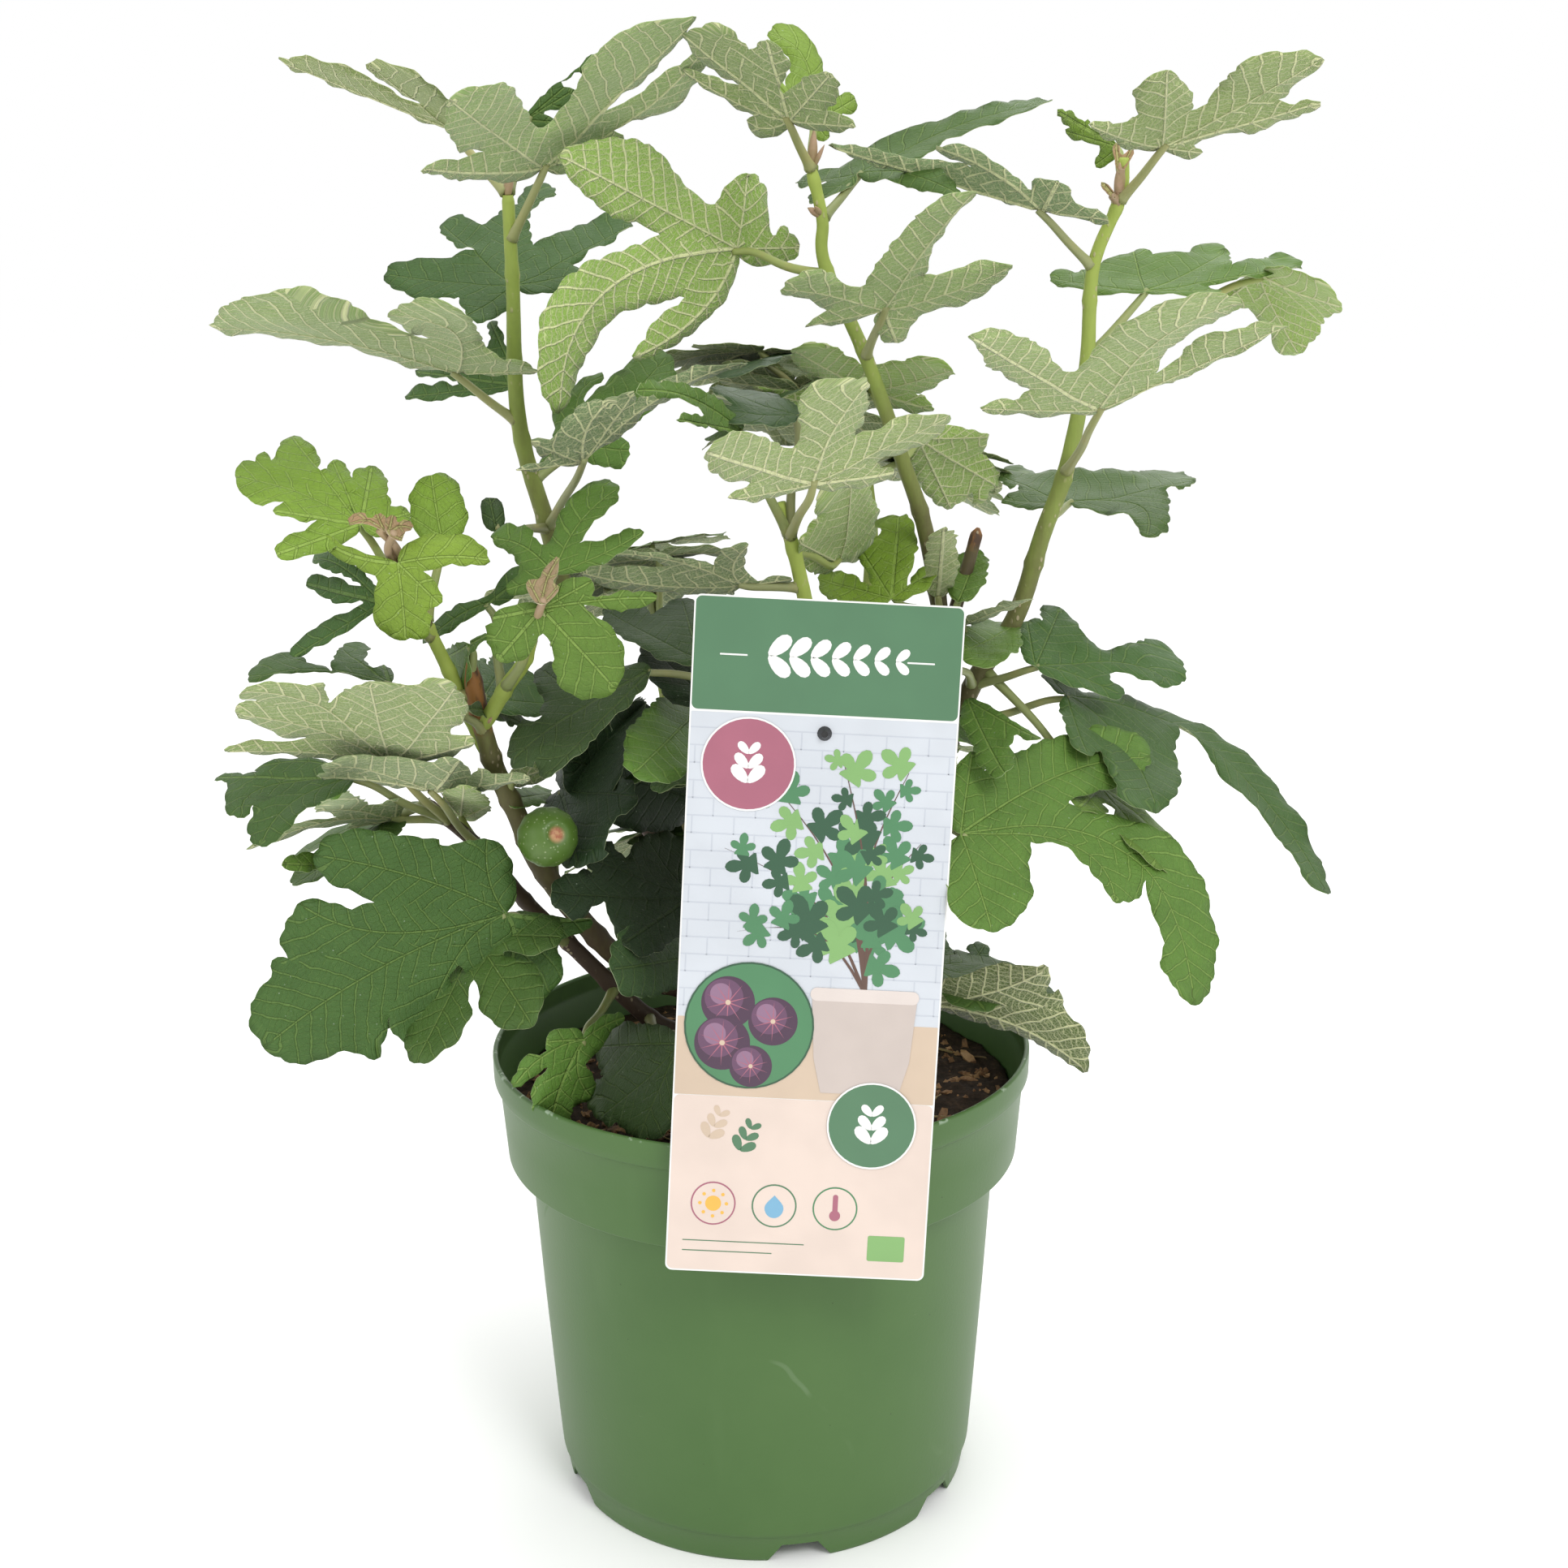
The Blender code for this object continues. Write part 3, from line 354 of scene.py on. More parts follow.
def soil_mix():
    finish = Finish("soil_mix", Roughness=0.95, Specular_IOR_Level=0.2)
    place = finish.coordinate("Object")
    crumbs = finish.noise(place, 260.0, 8.0, 0.7)
    clods = finish.cells(place, 230.0)
    color = finish.ramp(crumbs, (0.30, (0.010, 0.007, 0.005)), (0.55, (0.036, 0.023, 0.015)),
                        (0.74, (0.095, 0.058, 0.032)))
    return finish.set(Base_Color=color, Normal=finish.bump(crumbs * 0.8 + clods * 0.7, 0.0012, 1.0))


def chip_wood():
    finish = Finish("chip_wood", Roughness=0.85)
    place = finish.coordinate("Object")
    shade = finish.noise(place, 70.0, 2.0)
    grain = finish.noise(place, 900.0, 4.0)
    color = finish.ramp(shade * 0.75 + grain * 0.25, (0.34, (0.055, 0.030, 0.016)), (0.50, (0.22, 0.115, 0.050)),
                        (0.68, (0.50, 0.31, 0.15)))
    return finish.set(Base_Color=color, Normal=finish.bump(grain, 0.0004, 0.8))


def straw():
    finish = Finish("straw", Roughness=0.7)
    place = finish.coordinate("Object")
    shade = finish.noise(place, 55.0, 2.0)
    color = finish.ramp(shade, (0.35, (0.13, 0.085, 0.035)), (0.65, (0.44, 0.34, 0.15)))
    return finish.set(Base_Color=color)


def print_ink(name, color, roughness=0.34):
    """One printed colour under a thin clear coat, with a faint paper tooth."""
    finish = Finish(name, Roughness=roughness, Coat_Weight=0.25, Coat_Roughness=0.12)
    place = finish.coordinate("Object")
    tooth = finish.noise(place, 1500.0, 3.0)
    cloud = finish.noise(place, 40.0, 2.0)
    darker = tuple(channel * 0.93 for channel in color)
    return finish.set(Base_Color=finish.mix(cloud.step(0.3, 0.7), color, darker),
                      Normal=finish.bump(tooth, 0.00003, 0.5))


def black_plastic():
    finish = Finish("black_plastic", Roughness=0.32)
    place = finish.coordinate("Object")
    wear = finish.noise(place, 180.0, 4.0)
    return finish.set(Base_Color=finish.mix(wear.step(0.45, 0.8) * 0.5, (0.010, 0.010, 0.010), (0.045, 0.045, 0.042)),
                      Normal=finish.bump(wear, 0.0001, 0.5))


# Meshes


def add_piece(name, mesh, slot, *nodes):
    """A finished piece: an object at the origin that rides on the plant and may replace CAD nodes."""
    piece = bpy.data.objects.new(name, mesh)
    bpy.context.scene.collection.objects.link(piece)
    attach(piece, "root")
    if nodes:
        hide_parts(*nodes)
    return piece


def joined_mesh(name, parts, materials):
    """One mesh from parts of (points, faces, material index, values at points)."""
    points, faces, indices = [], [], []
    offset = 0
    names = sorted({key for part in parts for key in part.get("values", {})})
    values = {key: [] for key in names}
    uv_names = sorted({key for part in parts for key in part.get("uvs", {})})
    uvs = {key: [] for key in uv_names}
    for part in parts:
        count = len(part["points"])
        points.append(np.asarray(part["points"], float))
        faces.extend([[i + offset for i in face] for face in part["faces"]])
        indices.extend(part["materials"])
        for key in names:
            values[key].append(np.broadcast_to(part["values"][key], (count,) + np.shape(part["values"][key])[-1:])
                               if np.ndim(part["values"][key]) == 1 and len(part["values"][key]) != count
                               else np.asarray(part["values"][key], float))
        for key in uv_names:
            uvs[key].append(np.asarray(part["uvs"][key], float))
        offset += count
    mesh = bpy.data.meshes.new(name)
    mesh.from_pydata(np.concatenate(points).tolist(), [], faces)
    for made in materials:
        mesh.materials.append(made)
    mesh.polygons.foreach_set("material_index", indices)
    mesh.polygons.foreach_set("use_smooth", [True] * len(faces))
    for key in names:
        data = np.concatenate(values[key])
        if data.ndim == 2:
            layer = mesh.attributes.new(key, "FLOAT_COLOR", "POINT")
            layer.data.foreach_set("color", np.hstack([data, np.ones((len(data), 1))]).ravel())
        else:
            layer = mesh.attributes.new(key, "FLOAT", "POINT")
            layer.data.foreach_set("value", data)
    for key in uv_names:
        layer = mesh.uv_layers.new(name=key)
        layer.data.foreach_set("uv", np.concatenate(uvs[key]).ravel())
    mesh.validate()
    mesh.update()
    return mesh


def smooth_path(points, per_span):
    """Points along a Catmull-Rom curve through the given ones."""
    knots = [Vector(p) for p in points]
    knots = [2 * knots[0] - knots[1]] + knots + [2 * knots[-1] - knots[-2]]
    path = []
    for a, b, c, d in zip(knots, knots[1:], knots[2:], knots[3:]):
        for i in range(per_span):
            t = i / per_span
            path.append(0.5 * (2 * b + (c - a) * t + (2 * a - 5 * b + 4 * c - d) * t ** 2
                               + (3 * b - a - 3 * c + d) * t ** 3))
    path.append(knots[-2])
    return path


def tube(path, radii, sides, values):
    """A closed round tube along a path, with round ends; values are given for each point of the path."""
    path = [Vector(p) for p in path]
    points, faces = [], []
    tangents = [(path[min(i + 1, len(path) - 1)] - path[max(i - 1, 0)]).normalized() for i in range(len(path))]
    side = tangents[0].orthogonal().normalized()
    for i, (centre, tangent) in enumerate(zip(path, tangents)):
        side = (side - tangent * side.dot(tangent)).normalized()
        other = tangent.cross(side)
        for k in range(sides):
            turn = math.tau * k / sides
            radius = radii(i, turn) if callable(radii) else radii[i]
            points.append(centre + (side * math.cos(turn) + other * math.sin(turn)) * radius)
    for i in range(len(path) - 1):
        for k in range(sides):
            n = (k + 1) % sides
            faces.append((i * sides + k, i * sides + n, (i + 1) * sides + n, (i + 1) * sides + k))
    first, last = len(points), len(points) + 1
    points += [path[0], path[-1]]
    top = (len(path) - 1) * sides
    for k in range(sides):
        n = (k + 1) % sides
        faces.append((n, k, first))
        faces.append((top + k, top + n, last))
    spread = {}
    for key, per_point in values.items():
        data = np.repeat(np.asarray(per_point, float), sides, axis=0)
        spread[key] = np.concatenate([data, np.asarray(per_point, float)[[0, -1]]])
    return {"points": points, "faces": faces, "materials": [0] * len(faces), "values": spread}


# Stems

TRUNK_FOOT = (0.002, 0.014, 0.1775)
# Each limb: its points, foot and tip radius, the age of its bark at foot and tip, and how far apart its nodes are
LIMBS = {
    "trunk": ([TRUNK_FOOT, (0.002, 0.014, 0.1825), (-0.0016, 0.0132, 0.1999), (-0.0043, 0.0126, 0.2167),
               (-0.007, 0.012, 0.2335)], 0.0100, 0.0086, 1.0, 0.98, 0.0),
    "bough_left_tall": ([(-0.0068, 0.0121, 0.2338), (-0.009, 0.0120, 0.2385), (-0.020, 0.014, 0.252),
                         (-0.042, 0.018, 0.278), (-0.058, 0.020, 0.315), (-0.074, 0.020, 0.363),
                         (-0.085, 0.018, 0.411), (-0.095, 0.010, 0.458), (-0.094, 0.000, 0.513),
                         (-0.094, -0.004, 0.546)], 0.0055, 0.0024, 0.95, 0.12, 0.034),
    "bough_left_low": ([(-0.0020, 0.0125, 0.1925), (-0.0110, 0.0100, 0.1940), (-0.030, 0.004, 0.197), (-0.048, -0.005, 0.208),
                        (-0.080, -0.016, 0.246), (-0.097, -0.020, 0.266), (-0.113, -0.028, 0.291),
                        (-0.132, -0.036, 0.312)], 0.0042, 0.0026, 0.98, 0.70, 0.026),
    "bough_left_pruned": ([(-0.0050, 0.0122, 0.2115), (-0.0130, 0.0080, 0.2140), (-0.035, 0.000, 0.220),
                           (-0.060, -0.010, 0.237), (-0.087, -0.030, 0.281), (-0.096, -0.042, 0.310),
                           (-0.103, -0.048, 0.331), (-0.107, -0.053, 0.353), (-0.109, -0.056, 0.3745)],
                          0.0050, 0.0036, 0.80, 0.46, 0.020),
    "shoot_left_front": ([(-0.1062, -0.0522, 0.3480), (-0.1025, -0.0560, 0.3525), (-0.0944, -0.0620, 0.3653),
                          (-0.0874, -0.0680, 0.3749), (-0.0829, -0.0760, 0.3860)],
                         0.0031, 0.0027, 0.16, 0.0, 0.02),
    "shoot_left_outer": ([(-0.1030, -0.0485, 0.3320), (-0.1070, -0.0500, 0.3400), (-0.113, -0.050, 0.356),
                          (-0.120, -0.052, 0.374), (-0.125, -0.056, 0.388)], 0.0028, 0.0025, 0.2, 0.0, 0.02),
    "bough_right_tall": ([(0.0030, 0.0128, 0.2195), (0.030, 0.012, 0.240), (0.067, 0.012, 0.293),
                          (0.088, 0.012, 0.345), (0.107, 0.012, 0.377), (0.117, 0.010, 0.411),
                          (0.126, 0.008, 0.439), (0.132, 0.004, 0.479), (0.133, 0.000, 0.517),
                          (0.142, -0.004, 0.543), (0.143, -0.004, 0.558)], 0.0056, 0.0022, 0.98, 0.0, 0.036),
    "bough_middle_tall": ([(0.0796, 0.0118, 0.3235), (0.0775, 0.0105, 0.3290), (0.076, 0.004, 0.372), (0.069, 0.004, 0.413),
                           (0.059, 0.000, 0.443), (0.044, -0.004, 0.484), (0.028, -0.008, 0.519),
                           (0.027, -0.010, 0.536), (0.023, -0.012, 0.554)], 0.0040, 0.0022, 0.80, 0.05, 0.034),
    "stub_middle": ([(0.0762, 0.0045, 0.3690), (0.0790, 0.0060, 0.3730), (0.086, 0.010, 0.396), (0.091, 0.012, 0.414)],
                    0.0028, 0.0026, 0.72, 0.60, 0.0),
    "bough_middle_front": ([(-0.0060, 0.0110, 0.2290), (0.0010, 0.0020, 0.2360), (0.010, -0.018, 0.262), (0.021, -0.033, 0.330),
                            (0.022, -0.036, 0.373), (0.017, -0.042, 0.405), (0.010, -0.046, 0.432)],
                           0.0042, 0.0026, 0.55, 0.0, 0.034),
    "bough_back_left": ([(-0.0045, 0.0140, 0.2090), (-0.0080, 0.0230, 0.2120), (-0.020, 0.042, 0.240), (-0.038, 0.066, 0.300),
                         (-0.044, 0.078, 0.355)], 0.0044, 0.0028, 0.9, 0.2, 0.03),
    "bough_back_right": ([(-0.0035, 0.0140, 0.2150), (0.0060, 0.0230, 0.2180), (0.022, 0.042, 0.250), (0.042, 0.066, 0.320),
                          (0.050, 0.076, 0.395), (0.046, 0.074, 0.440)], 0.0046, 0.0026, 0.9, 0.15, 0.03),
}
LIMB_SIDES = 20
LIMB_STEPS = 14
NODE_SWELL = 0.16
NODE_HALF_WIDTH = 0.0022
FLARE = 0.0065
BARK_DEPTH = 0.035

# Cut-back limbs, and the length over which each narrows to its dry tip
DRY_TIPS = {"bough_left_pruned": 0.012, "stub_middle": 0.004}

AXES = {}


def limb_axis(name):
    """The limb's fine path, with its length and radius so far at each point."""
    points, foot, tip, *_ = LIMBS[name]
    path = smooth_path(points, LIMB_STEPS)
    reach = [0.0]
    for a, b in zip(path, path[1:]):
        reach.append(reach[-1] + (b - a).length)
    radii = [foot + (tip - foot) * along / reach[-1] for along in reach]
    return path, reach, radii


def make_limb(name):
    points, foot, tip, old, young, node_gap = LIMBS[name]
    path, reach, radii = AXES[name]

    def radius(i, turn):
        along = reach[i]
        size = radii[i]
        if name == "trunk":
            size += FLARE * math.exp(-along / reach[-1] * 7) * (1 + 0.22 * math.cos(3 * turn + 0.6))
        if node_gap:
            off = abs((along / node_gap + 0.5) % 1 - 0.5) * node_gap
            size *= 1 + NODE_SWELL * math.exp(-(off / NODE_HALF_WIDTH) ** 2)
        place = path[i] * 260 + Vector((math.cos(turn), math.sin(turn), 0)) * 1.3
        size *= 1 + BARK_DEPTH * noise.noise(place)
        if i in (0, len(path) - 1) and name != "trunk":
            size *= 0.82
        if name in DRY_TIPS:
            size *= min(1.0, 0.30 + (reach[-1] - along) / DRY_TIPS[name])
        return size

    ages = [old + (young - old) * along / reach[-1] for along in reach]
    dry_reach = DRY_TIPS.get(name, 0.0) * 2.6
    dry = [float(np.clip((along - reach[-1] + dry_reach) / 0.004, 0, 1)) if dry_reach else 0.0 for along in reach]
    part = tube(path, radius, LIMB_SIDES, {"age": ages, "dry": dry})
    add_piece(name + "_bark", joined_mesh(name + "_bark", [part], [BARK]), "bark" if old > 0.3 else "green_wood", name)


def on_limb(name, u, v):
    """The place on a limb's axis that is seen nearest to a pixel, with the axis' direction and radius there."""
    path, _, radii = AXES[name]
    best = min(range(len(path)), key=lambda i: (pixel(path[i]) - Vector((u, v))).length)
    ahead = path[min(best + 1, len(path) - 1)] - path[max(best - 1, 0)]
    return path[best], ahead.normalized(), radii[best]


# Leaves

# A natural five-lobed leaf: angle of each main vein from the middle one, and its length
LOBE_ANGLES = {-2: -98.0, -1: -46.0, 0: 0.0, 1: 46.0, 2: 98.0}
LOBE_LENGTHS = {-2: 0.60, -1: 0.88, 0: 1.0, 1: 0.88, 2: 0.60}
LEAF_LENGTH = 0.086
LEAF_THICKNESS = 0.00036
LEAST_FACING = 0.28
BOX_MARGIN = 0.010
DROOP = 0.010
MESH_GAP = 0.0042
OUTLINE_GAP = 0.0021
TOOTH_LENGTH = 0.0085
TOOTH_DEPTH = 0.0013
VEIN_FOOT = 0.0011
VEIN_TIP = 0.0004
RIDGE_HEIGHT = 0.0007
SHOULDER = 0.62
EAR = 0.36
SINUS = 0.10
BREADTH = 0.26
NOTCH = 0.42


def smoothstep(x):
    x = np.clip(x, 0.0, 1.0)
    return x * x * (3 - 2 * x)


def lobe_axis(junction, tip, via):
    """A lobe's middle vein: points from the junction to the tip, bent through a given one."""
    t = np.linspace(0, 1, 49)[:, None]
    if via is None:
        return junction + (tip - junction) * t
    control = 2 * via - 0.5 * (junction + tip)
    return junction * (1 - t) ** 2 + control * 2 * t * (1 - t) + tip * t ** 2


def lobe_side(axis, start, width, sign, blunt):
    """One margin of a lobe, from its start to its tip: a neck, a broad shoulder and a blunt round end.

    The start is the notch to the next lobe, or nothing on the outer side of a leaf's first and last lobe.
    """
    heading = np.gradient(axis, axis=0)
    heading /= np.linalg.norm(heading, axis=1, keepdims=True)
    across = np.column_stack([-heading[:, 1], heading[:, 0]]) * sign
    places = np.linspace(0, 1, len(axis))
    if start is None:
        low, first = 0.0, 0.0
    else:
        offset = start - axis
        near = int(np.argmin(np.linalg.norm(offset, axis=1)[:44]))
        low, first = places[near], float(offset[near] @ across[near])
    shoulder = max(SHOULDER, low + 0.35 * (1 - low))
    t = np.concatenate([np.linspace(low, shoulder, 22)[:-1],
                        shoulder + (1 - shoulder) * np.sin(np.linspace(0, 1, 16) * math.pi / 2)])
    if start is None:
        wide = width * np.sqrt(1 - (1 - np.clip(t / EAR, 0, 1)) ** 2)
    elif first > width:
        swell = smoothstep((t - low) / max(shoulder - low, 0.05))
        wide = first + (width - first) * swell
    else:
        neck = first * 0.90
        fall = np.clip((t - low) / SINUS, 0, 1)
        swell = smoothstep((t - low - SINUS * 0.6) / max(shoulder - low - SINUS * 0.6, 0.05))
        wide = neck + (width - neck) * swell + (first - neck) * (1 - np.sqrt(1 - (1 - fall) ** 2))
    close = np.clip((t - shoulder) / (1 - shoulder), 0, 1)
    wide = wide * np.clip(1 - close ** blunt, 0, 1) ** (0.5 if blunt > 2 else 0.72)
    along = np.column_stack([np.interp(t, places, axis[:, k]) for k in (0, 1)])
    aside = np.column_stack([np.interp(t, places, across[:, k]) for k in (0, 1)])
    return along + aside * wide[:, None]


def lobed_outline(junction, lobes, notches, blunt=2.3):
    """A leaf's smooth outline from its lobes in clockwise order, each (tip, width before, width after, via)."""
    axes = [lobe_axis(junction, tip, via) for tip, _, _, via in lobes]
    outline = [np.array([junction])]
    for i, (axis, (_, before, after, _)) in enumerate(zip(axes, lobes)):
        start = notches[i - 1] if i else None
        end = notches[i] if i < len(lobes) - 1 else None
        outline.append(lobe_side(axis, start, before, -1, blunt))
        outline.append(lobe_side(axis, end, after, 1, blunt)[::-1])
    return np.concatenate(outline), axes


def resampled(points, gap):
    """A closed line's points, spread evenly."""
    loop = np.vstack([points, points[:1]])
    steps = np.linalg.norm(np.diff(loop, axis=0), axis=1)
    reach = np.concatenate([[0], np.cumsum(steps)])
    count = max(12, int(reach[-1] / gap))
    marks = np.linspace(0, reach[-1], count + 1)[:-1]
    return np.column_stack([np.interp(marks, reach, loop[:, k]) for k in (0, 1)]), reach[-1] / count


def toothed(outline, gap, length, depth, rng):
    """The outline with rounded, uneven teeth, which die out at the leaf's base."""
    heading = np.roll(outline, -1, axis=0) - np.roll(outline, 1, axis=0)
    heading /= np.maximum(np.linalg.norm(heading, axis=1, keepdims=True), 1e-9)
    outward = np.column_stack([heading[:, 1], -heading[:, 0]])
    if signed_area(outline) < 0:
        outward = -outward
    phase, marks = 0.0, []
    stretch = rng.uniform(0.7, 1.4)
    for _ in outline:
        marks.append(phase)
        before = int(phase)
        phase += gap / (length * stretch)
        if int(phase) > before:
            stretch = rng.uniform(0.6, 1.5)
    marks = np.array(marks)
    swell = np.abs(np.sin(math.pi * marks)) ** 0.7 - 0.6
    slow = np.array([noise.noise(Vector((mark * 0.45, 3.1, length))) for mark in marks])
    fade = smoothstep(np.linalg.norm(outline - outline[0], axis=1) / (length * 2.5))
    return outline + outward * ((swell * depth * (1 + slow) + slow * depth * 1.6) * fade)[:, None]


def signed_area(loop):
    x, y = loop[:, 0], loop[:, 1]
    return 0.5 * float(np.sum(x * np.roll(y, -1) - y * np.roll(x, -1)))


def distance_to_lines(points, starts, ends):
    """Distance from every point to the nearest of some line pieces, with that piece and the place along it."""
    run = ends - starts
    square = np.maximum((run ** 2).sum(axis=1), 1e-14)
    offset = points[:, None, :] - starts[None]
    share = np.clip((offset * run[None]).sum(axis=2) / square[None], 0, 1)
    gap = offset - share[..., None] * run[None]
    distance = np.sqrt((gap ** 2).sum(axis=2))
    nearest = distance.argmin(axis=1)
    rows = np.arange(len(points))
    return distance[rows, nearest], nearest, share[rows, nearest]


def inside(points, loop):
    """Which points lie inside a closed line."""
    x, y = points[:, 0][:, None], points[:, 1][:, None]
    ax, ay = loop[:, 0][None], loop[:, 1][None]
    bx, by = np.roll(loop[:, 0], -1)[None], np.roll(loop[:, 1], -1)[None]
    crosses = ((ay > y) != (by > y)) & (x < (bx - ax) * (y - ay) / np.where(by == ay, 1e-12, by - ay) + ax)
    return crosses.sum(axis=1) % 2 == 1


class Blade:
    """A leaf's flat mesh in its own plane, in metres, made from its outline and its lobes' veins."""

    def __init__(self, outline, axes, rng):
        self.size = max(float(np.linalg.norm(axis[-1] - axis[0])) for axis in axes)
        smooth, gap = resampled(outline, OUTLINE_GAP)
        self.outline = toothed(smooth, gap, TOOTH_LENGTH, TOOTH_DEPTH, rng)
        self.axes = [axis[:-2] for axis in axes]
        self.draws = [rng.uniform(0, 1) for _ in axes]

    def vein_lines(self):
        """Each vein's middle line and its two sides, as rows of points."""
        lines = []
        for axis in self.axes:
            reach = np.concatenate([[0], np.cumsum(np.linalg.norm(np.diff(axis, axis=0), axis=1))])
            marks = np.linspace(0, reach[-1], max(4, int(reach[-1] / MESH_GAP)) + 1)
            middle = np.column_stack([np.interp(marks, reach, axis[:, k]) for k in (0, 1)])
            heading = np.gradient(middle, axis=0)
            heading /= np.linalg.norm(heading, axis=1, keepdims=True)
            across = np.column_stack([-heading[:, 1], heading[:, 0]])
            half = (VEIN_FOOT + (VEIN_TIP - VEIN_FOOT) * marks / reach[-1])[:, None]
            lines += [middle, (middle + across * half)[1:], (middle - across * half)[1:]]
        return lines

    def mesh(self):
        """The flat blade's points and triangles, its outline and veins kept as edges between them."""
        count = len(self.outline)
        points = [self.outline]
        edges = [(i, (i + 1) % count) for i in range(count)]
        total = count
        for line in self.vein_lines():
            line = line[inside(line, self.outline)]
            points.append(line)
            edges += [(total + i, total + i + 1) for i in range(len(line) - 1)
                      if np.linalg.norm(line[i + 1] - line[i]) < 2 * MESH_GAP]
            total += len(line)
        low, high = self.outline.min(axis=0), self.outline.max(axis=0)
        across, up = np.meshgrid(np.arange(low[0], high[0], MESH_GAP),
                                 np.arange(low[1], high[1], MESH_GAP * 0.866))
        across = across + (np.arange(len(up)) % 2)[:, None] * MESH_GAP / 2
        grid = np.column_stack([across.ravel(), up.ravel()])
        grid = grid[inside(grid, self.outline)]
        fixed = np.concatenate(points)
        crowd = np.sqrt(((grid[:, None] - fixed[None]) ** 2).sum(axis=2)).min(axis=1)
        grid = grid[crowd > 0.5 * MESH_GAP]
        every = np.concatenate([fixed, grid])
        made, _, faces, *_ = delaunay_2d_cdt([Vector(p) for p in every], edges, [], 1, 1e-6)
        flat = np.array([tuple(p) for p in made])
        used = sorted({i for face in faces for i in face})
        rank = {old: new for new, old in enumerate(used)}
        flat = flat[used]
        faces = [[rank[i] for i in face] for face in faces]
        return flat, faces

    def places(self, points):
        """For each point: its distance from its nearest vein, that vein and its place along it in metres; and every
        vein's length.
        """
        starts = np.concatenate([axis[:-1] for axis in self.axes])
        ends = np.concatenate([axis[1:] for axis in self.axes])
        owner = np.concatenate([[k] * (len(axis) - 1) for k, axis in enumerate(self.axes)])
        spans = [np.linalg.norm(np.diff(axis, axis=0), axis=1) for axis in self.axes]
        before = np.concatenate([np.cumsum(span) - span for span in spans])
        distance, piece, share = distance_to_lines(points, starts, ends)
        return distance, owner[piece], before[piece] + share * np.concatenate(spans)[piece], [s.sum() for s in spans]


def surface_normals(points, faces):
    faces = np.asarray(faces)
    cross = np.cross(points[faces[:, 1]] - points[faces[:, 0]], points[faces[:, 2]] - points[faces[:, 0]])
    total = np.zeros_like(points)
    for column in range(3):
        np.add.at(total, faces[:, column], cross)
    return total / np.maximum(np.linalg.norm(total, axis=1, keepdims=True), 1e-12)


